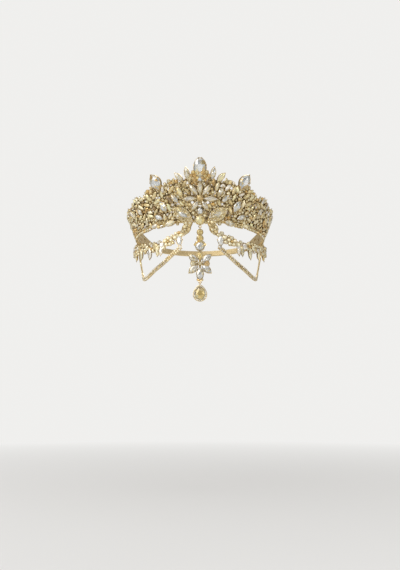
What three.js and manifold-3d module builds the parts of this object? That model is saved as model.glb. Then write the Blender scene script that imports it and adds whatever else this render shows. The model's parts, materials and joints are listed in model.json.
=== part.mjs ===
// A bridal crown: a flared, pierced band of gilt metal set with cut crystals, two pave wings at the
// front, a garland and a chain swag down each side, and a forehead pendant that ends in a pear drop.
// Millimetres, +Z up. The origin is the middle of the circle of the band's lower edge, where a head
// goes in, and -Y is the front.

import * as THREE from 'three';
import { ConvexGeometry } from 'three/addons/geometries/ConvexGeometry.js';
import { mergeVertices } from 'three/addons/utils/BufferGeometryUtils.js';
import Module from 'manifold-3d';

const wasm = await Module();
wasm.setup();

// Driving dimensions of the band
const RIM_RADIUS = 82;          // outer face of the wall at its lower edge
const FLARE = 21;               // degrees that the wall leans outwards
const WALL = 1.4;               // thickness of the cast wall
const LIP = 0.9;                // how far the rim strip stands out of the wall
const LIP_HEIGHT = 2.6;         // height of the rim strip

// Driving dimensions of the settings
const FIT = 0.3;                // gap between a stone and the metal that holds it
const BEZEL = 0.9;              // from a stone's edge to the outside of its bezel
const BEZEL_RISE = 0.5;         // bezel edge above the widest line of the stone
const SEAT = 1.5;               // depth of a stone's seat below its widest line
const TABLE_SHARE = 0.56;       // size of the flat top facet against the stone's outline
const KEEL_SHARE = 0.3;         // length of the keel under a long stone
const STUD_RISE = 1.5;          // height of a small fused stone
const FUSED_RISE = 2.2;         // height of a fused navette

// Driving dimensions of the hanging pieces
const RING = 1.5;               // middle radius of a jump ring
const RING_WIRE = 0.5;          // radius of its wire
const STRAND_WIRE = 1.3;        // side of the garland's carrying wire
const CHAIN_WIDTH = 5.4;        // two rows of cup chain side by side
const CHAIN_DEPTH = 2.2;

// The top edge of the wall: height along the wall at each angle from the front, the same on both sides.
// The wall bends at these angles and is flat between them.
const CREST = [
  { angle: 0, height: 59 }, { angle: 4.5, height: 58 }, { angle: 9, height: 51 }, { angle: 14, height: 48 },
  { angle: 20, height: 51 }, { angle: 26, height: 46 }, { angle: 31, height: 47 }, { angle: 37, height: 46.5 },
  { angle: 42, height: 42 }, { angle: 46.5, height: 36 }, { angle: 51, height: 40 }, { angle: 55, height: 41 },
  { angle: 60, height: 36 }, { angle: 67, height: 33 }, { angle: 74, height: 34.5 }, { angle: 81, height: 31 },
  { angle: 88, height: 33 }, { angle: 95, height: 29 }, { angle: 102, height: 30 }, { angle: 110, height: 24 },
  { angle: 118, height: 22 }, { angle: 126, height: 14 }, { angle: 134, height: 9 }, { angle: 143, height: 8 },
  { angle: 152, height: 8 }, { angle: 161, height: 8 }, { angle: 170, height: 8 }, { angle: 180, height: 8 },
];

// Gaps cut through the front of the wall, the same on both sides
const GAPS = [
  { angle: 2.7, up: 44.5, wide: 2.6, tall: 4.6 }, { angle: 5.8, up: 23.2, wide: 4.4, tall: 4.2 },
  { angle: 5.6, up: 34.5, wide: 2.4, tall: 3 }, { angle: 8.6, up: 45.5, wide: 4.6, tall: 5.4 },
  { angle: 10.4, up: 17.8, wide: 3, tall: 2.6 }, { angle: 10.6, up: 34, wide: 3.6, tall: 7.6 },
  { angle: 15.2, up: 43.6, wide: 4.6, tall: 3 }, { angle: 16.4, up: 22.2, wide: 6.4, tall: 3.4 },
  { angle: 17.6, up: 36.2, wide: 2.8, tall: 3.6 }, { angle: 21.7, up: 6.4, wide: 3.6, tall: 3 },
  { angle: 21.9, up: 30.2, wide: 2.8, tall: 3.6 }, { angle: 22.6, up: 41.8, wide: 4.4, tall: 6.4 },
  { angle: 23.4, up: 14.6, wide: 3, tall: 5.4 },
  { angle: 31.6, up: 33, wide: 3.4, tall: 6.4 }, { angle: 33.4, up: 16.4, wide: 4, tall: 3 },
  { angle: 36.4, up: 27, wide: 3, tall: 4 }, { angle: 39.9, up: 6.8, wide: 3.4, tall: 3.2 },
  { angle: 42.4, up: 20.6, wide: 3.4, tall: 2.8 }, { angle: 46.6, up: 29.5, wide: 3, tall: 4 },
];
const WIDE_GAP = 4.2;           // gaps wider than this have six sides, the others are diamonds
// Gaps of the sides, in staggered columns
const SIDE_GAPS = { from: 57, to: 118, step: 8.6, low: 9, high: 19, stagger: 4.4, wide: 4, tall: 5.6 };

// Main stones on the wall. lean is clockwise from upright, seen from outside, and out is the height of
// the stone's widest line above the wall.
const MIDDLE_STONES = [
  { name: 'top_stone', cut: 'oval', angle: 0, up: 63.2, out: 1.9, long: 22, wide: 14, lean: 0, tone: 'clear' },
  { name: 'centre_pear', cut: 'pear', angle: 0, up: 13.4, out: 1.9, long: 8.4, wide: 6.6, lean: 0, tone: 'clear' },
  { name: 'centre_round', cut: 'round', angle: 0, up: 2.6, out: 2.2, long: 10, wide: 10, lean: 0, tone: 'champagne' },
];
const PAIRED_STONES = [
  { name: 'spray_inner', cut: 'navette', angle: 8.5, up: 57, out: 1.9, long: 14, wide: 5, lean: 8, tone: 'clear' },
  { name: 'spray_outer', cut: 'navette', angle: 13.9, up: 53.4, out: 1.9, long: 12.5, wide: 5, lean: 40, tone: 'clear' },
  { name: 'peak_stone', cut: 'navette', angle: 31.3, up: 51.6, out: 1.9, long: 20, wide: 13, lean: 24, tone: 'clear' },
  { name: 'upper_leaf', cut: 'navette', angle: 14.4, up: 36.4, out: 1.9, long: 12, wide: 4.6, lean: 24, tone: 'clear' },
  { name: 'middle_leaf', cut: 'navette', angle: 18.4, up: 29, out: 1.9, long: 12, wide: 4.6, lean: 38, tone: 'clear' },
  { name: 'broad_leaf', cut: 'navette', angle: 28.6, up: 22, out: 2.1, long: 14.5, wide: 8, lean: 24, tone: 'clear' },
  { name: 'low_leaf', cut: 'navette', angle: 34.4, up: 10.4, out: 1.9, long: 12, wide: 5, lean: 62, tone: 'clear' },
  { name: 'rim_leaf', cut: 'navette', angle: 25, up: 1.2, out: 2.3, long: 14, wide: 5.4, lean: 101, tone: 'clear' },
  { name: 'far_leaf', cut: 'navette', angle: 53, up: 23.4, out: 1.9, long: 11, wide: 5, lean: 38, tone: 'clear' },
];

// The star flower in the middle of the front: petals round a gold bead
const FLOWER = { angle: 0, up: 28.3, out: 2.6, wide: 4.8, bead: 6.4 };
const PETALS = [
  { name: 'petal_top', lean: 0, long: 14.5, reach: 11.8 },
  { name: 'petal_upper', lean: 39, long: 14.5, reach: 12.4 },
  { name: 'petal_side', lean: 94, long: 15.2, reach: 12.6 },
  { name: 'petal_lower', lean: 145, long: 12.6, reach: 10.8 },
];

// Stones that are one with the band, the same on both sides
const FUSED_NAVETTES = [
  { angle: 27, up: 41.6, long: 9, wide: 4.4, lean: -10 }, { angle: 40.6, up: 36.5, long: 10, wide: 4.6, lean: 26 },
  { angle: 53.6, up: 37.4, long: 10, wide: 5, lean: 12 }, { angle: 41.2, up: 1.4, long: 11, wide: 5, lean: 97 },
  { angle: 68, up: 27.5, long: 11, wide: 5, lean: 25 }, { angle: 84, up: 26.5, long: 11, wide: 5, lean: 25 },
];
const STUDS = [
  { angle: 3.4, up: 51.6, across: 5 }, { angle: 20.6, up: 48.2, across: 5 }, { angle: 9.8, up: 21.8, across: 5 },
  { angle: 37.2, up: 42.4, across: 4.8 }, { angle: 45.4, up: 12.6, across: 5 },
];

// One pave wing, in the plane that touches the wall at its place
const WING = { angle: 12.9, up: 6.6, out: LIP + 0.35, thick: 1.9 };
const WING_LEAVES = [
  { across: 1.2, up: 3.6, long: 29, wide: 15, lean: 57 },
  { across: -2.2, up: -13.4, long: 19, wide: 10.5, lean: 150 },
  { across: -5.6, up: -5.4, long: 14, wide: 10, lean: 20 },
];
const WING_STONE = { name: 'wing_stone', across: 1.2, up: 3.6, long: 15, wide: 5, lean: 60 };
const WING_STUDS = [
  { across: 4.6, up: 9.6 }, { across: -4.4, up: 4.4 }, { across: 6.6, up: 2 },
  { across: -3.4, up: -9.6 }, { across: -0.8, up: -14.4 },
];
const WING_STUD = 3.2;

// The middle line of a garland's carrying wire: how far it hangs below the rim at each angle, and its
// distance from the crown's axis
const STRAND = [
  { angle: 13.8, drop: 14.2, radius: 81.1 }, { angle: 19, drop: 15.8, radius: 81.8 },
  { angle: 26, drop: 21.2, radius: 82.6 }, { angle: 33, drop: 24.4, radius: 83 },
  { angle: 40, drop: 24.8, radius: 83 }, { angle: 51, drop: 23.8, radius: 83 },
  { angle: 63, drop: 21.6, radius: 83 }, { angle: 76, drop: 20.4, radius: 83 },
  { angle: 86, drop: 18.2, radius: 83 }, { angle: 94, drop: 12.6, radius: 83 },
  { angle: 100, drop: 6.4, radius: 82.8 }, { angle: 103.4, drop: 1.5, radius: 82.4 },
];
const STRAND_STEPS = 15;
// Stones of a garland: on the wire, or hanging from it by the tip
const GARLAND = [
  { cut: 'navette', angle: 16, hangs: false, long: 7, wide: 4.6, lean: 100 },
  { cut: 'navette', angle: 17.4, hangs: true, long: 13.4, wide: 6.8, lean: 4 },
  { cut: 'round', angle: 21, hangs: false, long: 6, wide: 6, lean: 0 },
  { cut: 'round', angle: 26.8, hangs: false, long: 9.6, wide: 9.6, lean: 0 },
  { cut: 'round', angle: 33, hangs: false, long: 7, wide: 7, lean: 0 },
  { cut: 'navette', angle: 33.6, hangs: true, long: 14, wide: 5, lean: -4 },
  { cut: 'navette', angle: 37.4, hangs: true, long: 14, wide: 5, lean: 4 },
  { cut: 'round', angle: 40, hangs: false, long: 8, wide: 8, lean: 0 },
  { cut: 'navette', angle: 46.6, hangs: true, long: 16, wide: 6, lean: 0 },
  { cut: 'round', angle: 51, hangs: false, long: 7.4, wide: 7.4, lean: 0 },
  { cut: 'navette', angle: 60, hangs: true, long: 15, wide: 6, lean: 0 },
  { cut: 'round', angle: 64.6, hangs: false, long: 8, wide: 8, lean: 0 },
  { cut: 'navette', angle: 74, hangs: true, long: 14, wide: 5.6, lean: 0 },
  { cut: 'round', angle: 78, hangs: false, long: 7, wide: 7, lean: 0 },
  { cut: 'round', angle: 88.6, hangs: false, long: 7, wide: 7, lean: 0 },
  { cut: 'round', angle: 97.2, hangs: false, long: 5.4, wide: 5.4, lean: 0 },
];
const HANG_OVERLAP = 0.9;       // how far the tip of a hanging stone goes into the wire

// The middle line of a chain swag: it leaves the garland's first drop, hangs round the temple and comes
// up behind the garland. radius is the distance from the crown's axis.
const SWAG = [
  { angle: 16.4, drop: 29.7, radius: 81.8 }, { angle: 24.5, drop: 38.4, radius: 81.4 },
  { angle: 32, drop: 45.4, radius: 80.4 }, { angle: 43.5, drop: 52, radius: 78.2 },
  { angle: 54.5, drop: 56.4, radius: 76 }, { angle: 64, drop: 57.4, radius: 74.4 },
  { angle: 74, drop: 55.2, radius: 73.4 }, { angle: 84, drop: 48.4, radius: 73.6 },
  { angle: 92, drop: 38.4, radius: 75.6 }, { angle: 97.5, drop: 26, radius: 79 },
  { angle: 99.6, drop: 12.4, radius: 82.2 },
];
const SWAG_STEPS = 22;

// The forehead pendant, in the upright plane of its hinge. drop is below the rim.
const PENDANT_FRONT = -82;      // the hinge plane's place along Y
const PENDANT_BACK = 1.35;      // from the hinge plane back to the rear of the pendant's plates
const LOOP_DROP = 5.2;          // middle of the loop under the crown's middle stone
const PLATE = 1.1;              // thickness of the plates behind the pendant's seats
const STEM_STONES = [
  { name: 'stem_stone_upper', cut: 'round', across: 0, drop: 12.4, long: 6.2, wide: 6.2, lean: 0, tone: 'champagne' },
  { name: 'stem_stone_lower', cut: 'round', across: 0, drop: 19.9, long: 6.8, wide: 6.8, lean: 0, tone: 'champagne' },
  { name: 'stem_round', cut: 'round', across: 0, drop: 29.7, long: 9.4, wide: 9.4, lean: 0, tone: 'clear' },
];
const STAR = { drop: 50.4, reach: 10.2, long: 12.4, wide: 6.2 };
const STAR_PETALS = [
  { name: 'star_top', lean: 0, long: 11, wide: 5, reach: 9.4 },
  { name: 'star_upper_right', lean: 50 }, { name: 'star_upper_left', lean: -50 },
  { name: 'star_lower_right', lean: 130 }, { name: 'star_lower_left', lean: -130 },
  { name: 'star_bottom', lean: 180, long: 15, wide: 7.4, reach: 12.2 },
];
const STAR_BUDS = { across: 8.2, size: 5.4 };
const STAR_BEAD = 4;
const DROP_LOOP_DROP = 72.1;    // middle of the loop under the star
const PEAR_DROP = { drop: 85.4, long: 17.8, wide: 14.4, stoneLong: 14.8, stoneWide: 11.8 };

const GOLD = new THREE.MeshStandardMaterial({ color: 0xd0a24a, metalness: 1, roughness: 0.28 });
const TONES = {
  clear: new THREE.MeshStandardMaterial({ color: 0xe9eae2, metalness: 0, roughness: 0.06 }),
  champagne: new THREE.MeshStandardMaterial({ color: 0xe2bf78, metalness: 0, roughness: 0.06 }),
};

const rad = THREE.MathUtils.degToRad;
const SIDES = [{ name: 'right', sign: 1 }, { name: 'left', sign: -1 }];

// A geometry as a solid for joining and cutting, and back
function solid(geometry, matrix = new THREE.Matrix4()) {
  const bare = geometry.clone().applyMatrix4(matrix);
  bare.deleteAttribute('normal');
  bare.deleteAttribute('uv');
  const merged = mergeVertices(bare, 1e-4);
  return new wasm.Manifold(new wasm.Mesh({
    numProp: 3,
    vertProperties: new Float32Array(merged.attributes.position.array),
    triVerts: new Uint32Array(merged.index.array),
  }));
}

function geometryOf(body) {
  const { vertProperties, triVerts } = body.getMesh();
  const geometry = new THREE.BufferGeometry();
  geometry.setAttribute('position', new THREE.BufferAttribute(vertProperties, 3));
  geometry.setIndex(new THREE.BufferAttribute(triVerts, 1));
  geometry.computeVertexNormals();
  return geometry;
}

const join = (bodies) => bodies.reduce((all, one) => all.add(one));
const cut = (body, cutters) => cutters.reduce((left, one) => left.subtract(one), body);

function piece(name, geometry, material, matrix = new THREE.Matrix4()) {
  const mesh = new THREE.Mesh(geometry, material);
  mesh.name = name;
  mesh.applyMatrix4(matrix);
  return mesh;
}

// Frames: x runs to the right, y up along the surface and z out of it
function surfaceFrame(angle, radius, height, flare) {
  const a = rad(angle);
  const f = rad(flare);
  const across = new THREE.Vector3(Math.cos(a), Math.sin(a), 0);
  const along = new THREE.Vector3(Math.sin(f) * Math.sin(a), -Math.sin(f) * Math.cos(a), Math.cos(f));
  const outward = new THREE.Vector3().crossVectors(across, along);
  return new THREE.Matrix4()
    .makeBasis(across, along, outward)
    .setPosition(radius * Math.sin(a), -radius * Math.cos(a), height);
}

const wallFrame = (angle, up) =>
  surfaceFrame(angle, RIM_RADIUS + up * Math.sin(rad(FLARE)), up * Math.cos(rad(FLARE)), FLARE);
const strandFrame = (angle, drop, radius) => surfaceFrame(angle, radius, -drop, 0);
const pendantFrame = (drop) => surfaceFrame(0, -PENDANT_FRONT - PENDANT_BACK + PLATE, -drop, 0);

// Moves to a place in a frame, then turns by a lean and steps out of the surface
const placed = (frame, { across = 0, up = 0, out = 0, lean = 0 }) =>
  frame.clone()
    .multiply(new THREE.Matrix4().makeTranslation(across, up, out))
    .multiply(new THREE.Matrix4().makeRotationZ(-rad(lean)));

// Outlines of the cuts, grown all round by a margin
const OUTLINES = {
  navette(long, wide) {
    return new THREE.Shape().moveTo(0, -long / 2)
      .quadraticCurveTo(wide, 0, 0, long / 2)
      .quadraticCurveTo(-wide, 0, 0, -long / 2);
  },
  pear(long, wide) {
    const r = wide / 2;
    const middle = r - long / 2;
    const tangent = Math.asin(r / (long - r));
    const shape = new THREE.Shape().moveTo(0, long / 2);
    shape.lineTo(-r * Math.cos(tangent), middle + r * Math.sin(tangent));
    shape.absarc(0, middle, r, Math.PI - tangent, tangent, false);
    return shape;
  },
  oval(long, wide) {
    return new THREE.Shape().absellipse(0, 0, wide / 2, long / 2, 0, 2 * Math.PI, false);
  },
  round(long, wide) {
    return new THREE.Shape().absarc(0, 0, wide / 2, 0, 2 * Math.PI, false);
  },
};
// Flat steps in each side of a navette and in half a round or oval: wide stones have more of them
const LARGE = 9;
const SMALL = 5.5;
const OVAL_STEPS = 8;
const segmentsOf = ({ cut: kind, wide }) => {
  if (kind === 'round' && wide < SMALL) return 4;
  if (kind === 'oval') return OVAL_STEPS;
  return wide > LARGE ? 6 : { navette: 4, pear: 5, round: 5 }[kind];
};
const TIP_STRETCH = { navette: 1.5, pear: 1.4, oval: 1, round: 1 };

const outlineOf = ({ cut: kind, long, wide }, margin = 0) =>
  OUTLINES[kind](long + 2 * margin * TIP_STRETCH[kind], wide + 2 * margin);

const prismOf = (stone, margin, from, to) =>
  new THREE.ExtrudeGeometry(outlineOf(stone, margin), {
    depth: to - from, bevelEnabled: false, curveSegments: segmentsOf(stone),
  }).translate(0, 0, from);

// The points of an outline, scaled and lifted
function ring(stone, share, height) {
  const points = outlineOf(stone).getPoints(segmentsOf(stone));
  return points.map((p) => new THREE.Vector3(p.x * share, p.y * share, height));
}

const crownHeight = (stone) => 0.8 + 0.11 * stone.wide;

// A cut stone, its widest line at z = 0: a table, a ring of crown facets and a pavilion down to a keel
function cutStone(stone) {
  const keel = (KEEL_SHARE * (stone.long - stone.wide)) / 2;
  const depth = SEAT - FIT;
  return new ConvexGeometry([
    ...ring(stone, TABLE_SHARE, crownHeight(stone)),
    ...ring(stone, 1, 0),
    new THREE.Vector3(0, keel, -depth),
    new THREE.Vector3(0, -keel, -depth),
  ]);
}

// A stone that is one with the metal under it: crown facets and a table on a foot that is sunk into it
const fusedStone = (stone, foot, rise = crownHeight(stone)) =>
  new ConvexGeometry([...ring(stone, TABLE_SHARE, rise), ...ring(stone, 1, -foot)]);

const stud = (across, foot) => fusedStone({ cut: 'round', long: across, wide: across }, foot, STUD_RISE);

// The two halves of a setting: the metal that holds a stone, and the room that the stone takes out of it
const bezelOf = (stone, behind) => prismOf(stone, BEZEL, -behind, BEZEL_RISE);
const seatOf = (stone) => prismOf(stone, FIT, -SEAT, crownHeight(stone) + FIT);

// A jump ring in the plane of a frame
const RING_SIDES = 10;
const WIRE_SIDES = 5;
const jumpRing = () => new THREE.TorusGeometry(RING, RING_WIRE, WIRE_SIDES, RING_SIDES);

// The value of a column at an angle, along straight lines between the rows
function between(rows, angle, column) {
  const next = Math.max(1, rows.findIndex((row) => row.angle >= angle));
  const [a, b] = [rows[next - 1], rows[next]];
  return THREE.MathUtils.mapLinear(angle, a.angle, b.angle, a[column], b[column]);
}

// A closed solid through sections that each have the same number of points
function loft(sections, closed) {
  const count = sections[0].length;
  const rows = sections.length;
  const index = [];
  for (let i = 0; i < (closed ? rows : rows - 1); i++) {
    for (let j = 0; j < count; j++) {
      const a = i * count + j;
      const b = i * count + ((j + 1) % count);
      const c = ((i + 1) % rows) * count + j;
      const d = ((i + 1) % rows) * count + ((j + 1) % count);
      index.push(a, b, d, a, d, c);
    }
  }
  const last = (rows - 1) * count;
  for (let j = 1; !closed && j < count - 1; j++) {
    index.push(0, j + 1, j, last, last + j, last + j + 1);
  }
  const geometry = new THREE.BufferGeometry().setFromPoints(sections.flat());
  geometry.setIndex(index);
  return geometry;
}

// The bare wall: a section at every step round the band, thicker along the rim
function wall() {
  const half = CREST.slice(1, -1);
  const rows = [
    ...half.map(({ angle, height }) => ({ angle: -angle, height })).reverse(), CREST[0], ...half, CREST.at(-1),
  ];
  const sections = rows.map(({ angle, height: top }) => {
    const profile = [
      { out: -WALL, up: 0 }, { out: -WALL, up: top }, { out: 0, up: top },
      { out: 0, up: LIP_HEIGHT + LIP }, { out: LIP, up: LIP_HEIGHT }, { out: LIP, up: 0 },
    ];
    const frame = wallFrame(angle, 0);
    return profile.map(({ out, up }) => new THREE.Vector3(0, up, out).applyMatrix4(frame));
  });
  return solid(loft(sections, true));
}

const bothSides = (rows) => rows.flatMap((row) => SIDES.map(({ sign, name }) => ({
  ...row, angle: row.angle * sign, lean: (row.lean ?? 0) * sign, side: name,
})));

// Rows at even angles from one end to the other
function spaced({ from, to, step }, row) {
  const count = Math.floor((to - from) / step) + 1;
  return Array.from({ length: count }, (_, i) => row(from + i * step, i));
}

function gapCutters() {
  const { low, high, stagger, wide, tall } = SIDE_GAPS;
  const sideGaps = spaced(SIDE_GAPS, (angle, i) => [low, high].map((up) => ({
    angle, wide, tall, up: up + (i % 2) * stagger,
  }))).flat().filter(({ angle, up }) => up + tall < between(CREST, angle, 'height'));
  const middleGap = { cut: 'navette', long: 3.6, wide: 4.6, angle: 0, up: 19.4 };
  const rows = bothSides([...GAPS, ...sideGaps]).map((row) => ({ ...row, cut: 'navette', long: row.tall }));
  const outline = (row) => new THREE.ExtrudeGeometry(outlineOf(row), {
    depth: 4 * WALL, bevelEnabled: false, curveSegments: row.wide > WIDE_GAP ? 3 : 2,
  }).translate(0, 0, -2.5 * WALL);
  return [middleGap, ...rows].map((row) => solid(outline(row), wallFrame(row.angle, row.up)));
}

// Every separate stone of the band, with its place
function bandStones() {
  const petals = PETALS.flatMap((petal) => {
    const row = { ...petal, cut: 'navette', wide: FLOWER.wide, out: FLOWER.out, tone: 'clear' };
    return petal.lean === 0
      ? [row]
      : SIDES.map(({ name, sign }) => ({ ...row, name: `${row.name}_${name}`, lean: row.lean * sign }));
  }).map((row) => ({
    ...row,
    matrix: placed(placed(wallFrame(FLOWER.angle, FLOWER.up), { lean: row.lean }), { up: row.reach, out: row.out }),
  }));
  const bead = {
    name: 'flower_bead', cut: 'round', long: FLOWER.bead, wide: FLOWER.bead, out: FLOWER.out, tone: 'champagne',
    matrix: placed(wallFrame(FLOWER.angle, FLOWER.up), { out: FLOWER.out }),
  };
  const paired = bothSides(PAIRED_STONES).map((row) => ({ ...row, name: `${row.name}_${row.side}` }));
  const onWall = [...MIDDLE_STONES, ...paired].map((row) => ({
    ...row, matrix: placed(wallFrame(row.angle, row.up), { out: row.out, lean: row.lean }),
  }));
  return [...onWall, ...petals, bead];
}

// The band: pierced wall, soldered bezels, fused stones and the loop for the pendant
function crownFrame(stones) {
  const pierced = cut(wall(), gapCutters());
  const bezels = stones.map((stone) => solid(bezelOf(stone, stone.out + WALL / 2), stone.matrix));
  const navettes = bothSides(FUSED_NAVETTES).map((row) => solid(
    fusedStone({ ...row, cut: 'navette' }, WALL / 2, FUSED_RISE), placed(wallFrame(row.angle, row.up), { lean: row.lean }),
  ));
  const studs = bothSides(STUDS).map((row) => solid(stud(row.across, WALL / 2), wallFrame(row.angle, row.up)));
  const loop = solid(jumpRing(), surfaceFrame(0, -PENDANT_FRONT, -LOOP_DROP, 0));
  const seats = stones.map((stone) => solid(seatOf(stone), stone.matrix));
  return cut(join([pierced, ...bezels, ...navettes, ...studs, loop]), seats);
}

// A wing: leaves that overlap in one plate, small stones round the edge and a seat for its long stone
function wing(sign) {
  const frame = wallFrame(WING.angle * sign, WING.up);
  const seen = (row, out) => placed(frame, {
    across: row.across * sign, up: row.up, out, lean: (row.lean ?? 0) * sign,
  });
  const leaves = WING_LEAVES.map((row) => solid(
    prismOf({ ...row, cut: 'navette' }, 0, 0, WING.thick), seen(row, WING.out),
  ));
  const top = WING.out + WING.thick;
  const studs = WING_STUDS.map((row) => solid(stud(WING_STUD, WING.thick / 2), seen(row, top)));
  const stone = { ...WING_STONE, cut: 'navette', matrix: seen(WING_STONE, top + FIT) };
  const body = join([...leaves, ...studs, solid(bezelOf(stone, WING.thick), stone.matrix)]);
  return { stone, body: cut(body, [solid(seatOf(stone), stone.matrix)]) };
}

// A flat band along a line of places on the head: width across the line, depth out of the head
function swept(rows, sign, steps, width, depth) {
  const line = new THREE.CatmullRomCurve3(
    rows.map((row) => new THREE.Vector3(0, 0, 0).applyMatrix4(
      strandFrame(row.angle * sign, row.drop, row.radius),
    )),
  );
  const sections = [];
  for (let i = 0; i <= steps; i++) {
    const at = line.getPointAt(i / steps);
    const along = line.getTangentAt(i / steps);
    const outward = new THREE.Vector3(at.x, at.y, 0).normalize();
    const across = new THREE.Vector3().crossVectors(outward, along).normalize();
    const lift = new THREE.Vector3().crossVectors(along, across);
    const corner = (a, b) => at.clone().addScaledVector(across, a).addScaledVector(lift, b);
    sections.push([
      corner(-width / 2, -depth / 2), corner(width / 2, -depth / 2),
      corner(width / 2, depth / 2), corner(-width / 2, depth / 2),
    ]);
  }
  return loft(sections, false);
}

function garland(sign) {
  const wire = solid(swept(STRAND, sign, STRAND_STEPS, STRAND_WIRE, STRAND_WIRE));
  const stones = GARLAND.map((row) => {
    const drop = between(STRAND, row.angle, 'drop') + (row.hangs ? row.long / 2 - HANG_OVERLAP : 0);
    const frame = strandFrame(row.angle * sign, drop, between(STRAND, row.angle, 'radius'));
    return solid(fusedStone(row, STRAND_WIRE), placed(frame, { out: 0.4, lean: row.lean * sign }));
  });
  return join([wire, ...stones]);
}

// The pendant's stones, each with its place
function pendantStones() {
  const star = STAR_PETALS.map((petal) => {
    const row = { cut: 'navette', tone: 'clear', long: STAR.long, wide: STAR.wide, reach: STAR.reach, ...petal };
    const middle = placed(pendantFrame(STAR.drop), { lean: row.lean, out: SEAT });
    return { ...row, matrix: placed(middle, { up: row.reach }) };
  });
  const stem = STEM_STONES.map((row) => ({
    ...row, matrix: placed(pendantFrame(row.drop), { lean: row.lean, out: SEAT }),
  }));
  return [...stem, ...star];
}

// A ring at right angles to a loop, hung on the loop's lowest point with a running gap
function bail(loopDrop) {
  const axisDrop = loopDrop + RING;
  const middle = axisDrop + RING - 2 * RING_WIRE - FIT;
  return solid(jumpRing(), surfaceFrame(0, -PENDANT_FRONT, -middle, 0)
    .multiply(new THREE.Matrix4().makeRotationY(Math.PI / 2)));
}

// A short bar that joins two heights of the pendant
const stemBar = (from, to, wide) =>
  solid(new THREE.BoxGeometry(wide, to - from, PLATE + 0.5), placed(pendantFrame((from + to) / 2), { out: -0.2 }));

function pendantStem(stones) {
  const bezels = stones.map((stone) => solid(bezelOf(stone, SEAT + PLATE), stone.matrix));
  const buds = SIDES.map(({ sign }) => solid(
    fusedStone({ cut: 'round', long: STAR_BUDS.size, wide: STAR_BUDS.size }, SEAT + PLATE),
    placed(pendantFrame(STAR.drop), { across: STAR_BUDS.across * sign, out: SEAT }),
  ));
  const bead = solid(
    fusedStone({ cut: 'round', long: STAR_BEAD, wide: STAR_BEAD }, SEAT + PLATE),
    placed(pendantFrame(STAR.drop), { out: SEAT + 0.4 }),
  );
  const bars = [
    stemBar(LOOP_DROP + 2 * RING, STAR.drop + STAR.reach, 2.4),
    solid(new THREE.BoxGeometry(2 * STAR_BUDS.across, 2.4, PLATE), placed(pendantFrame(STAR.drop), { out: -PLATE / 2 })),
  ];
  const loop = solid(jumpRing(), surfaceFrame(0, -PENDANT_FRONT, -DROP_LOOP_DROP, 0));
  const metal = join([...bars, ...bezels, ...buds, bead, loop, bail(LOOP_DROP)]);
  return cut(metal, stones.map((stone) => solid(seatOf(stone), stone.matrix)));
}

// The pear drop: a wide pear frame round its stone, hung on a ring
function pearDrop() {
  const { drop, long, wide, stoneLong, stoneWide } = PEAR_DROP;
  const matrix = placed(pendantFrame(drop), { out: SEAT });
  const stone = { name: 'drop_stone', cut: 'pear', long: stoneLong, wide: stoneWide, tone: 'champagne', matrix };
  const frame = solid(prismOf({ cut: 'pear', long, wide }, 0, -SEAT - PLATE, BEZEL_RISE), matrix);
  const neck = stemBar(DROP_LOOP_DROP + 2 * RING, drop - long / 2 + 2, 1.8);
  const body = cut(join([frame, neck, bail(DROP_LOOP_DROP)]), [solid(seatOf(stone), matrix)]);
  return { stone, body };
}

const stoneMesh = (stone) => piece(stone.name, cutStone(stone), TONES[stone.tone], stone.matrix);

const crown = new THREE.Group();
crown.name = 'bridal_crown';

const band = new THREE.Group();
const stones = bandStones();
band.add(piece('crown_frame', geometryOf(crownFrame(stones)), GOLD), ...stones.map(stoneMesh));
for (const { name, sign } of SIDES) {
  const { body, stone } = wing(sign);
  band.add(piece(`wing_${name}`, geometryOf(body), GOLD));
  band.add(stoneMesh({ ...stone, name: `${stone.name}_${name}`, tone: 'clear' }));
  band.add(piece(`garland_${name}`, geometryOf(garland(sign)), GOLD));
  band.add(piece(`swag_chain_${name}`, swept(SWAG, sign, SWAG_STEPS, CHAIN_WIDTH, CHAIN_DEPTH), GOLD));
}
crown.add(band);

const pendant = new THREE.Group();
const hung = pendantStones();
pendant.add(piece('pendant_stem', geometryOf(pendantStem(hung)), GOLD), ...hung.map(stoneMesh));
const { body: dropBody, stone: dropStone } = pearDrop();
pendant.add(piece('drop_setting', geometryOf(dropBody), GOLD), stoneMesh(dropStone));
crown.add(pendant);

export default crown;
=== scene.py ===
# %% [markdown]
# A bridal crown
#
# The crown is a flared band of gilt metal, set so closely with cut crystals that little of the metal
# shows. Two pave wings stand beside the middle, a garland and a double cup chain hang down each side,
# and a pendant hangs at the front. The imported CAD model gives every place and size. This lesson
# dresses it: each stone gets its real cut, each setting its cup and claws, and the bare band is filled
# with the small stones that make it glitter.

# %% The frame and the tools
import json
import math
import random
from collections import namedtuple

import bmesh
import bpy
import numpy as np
from mathutils import Matrix, Vector
from mathutils.bvhtree import BVHTree
from mathutils.noise import noise as noise_at

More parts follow.
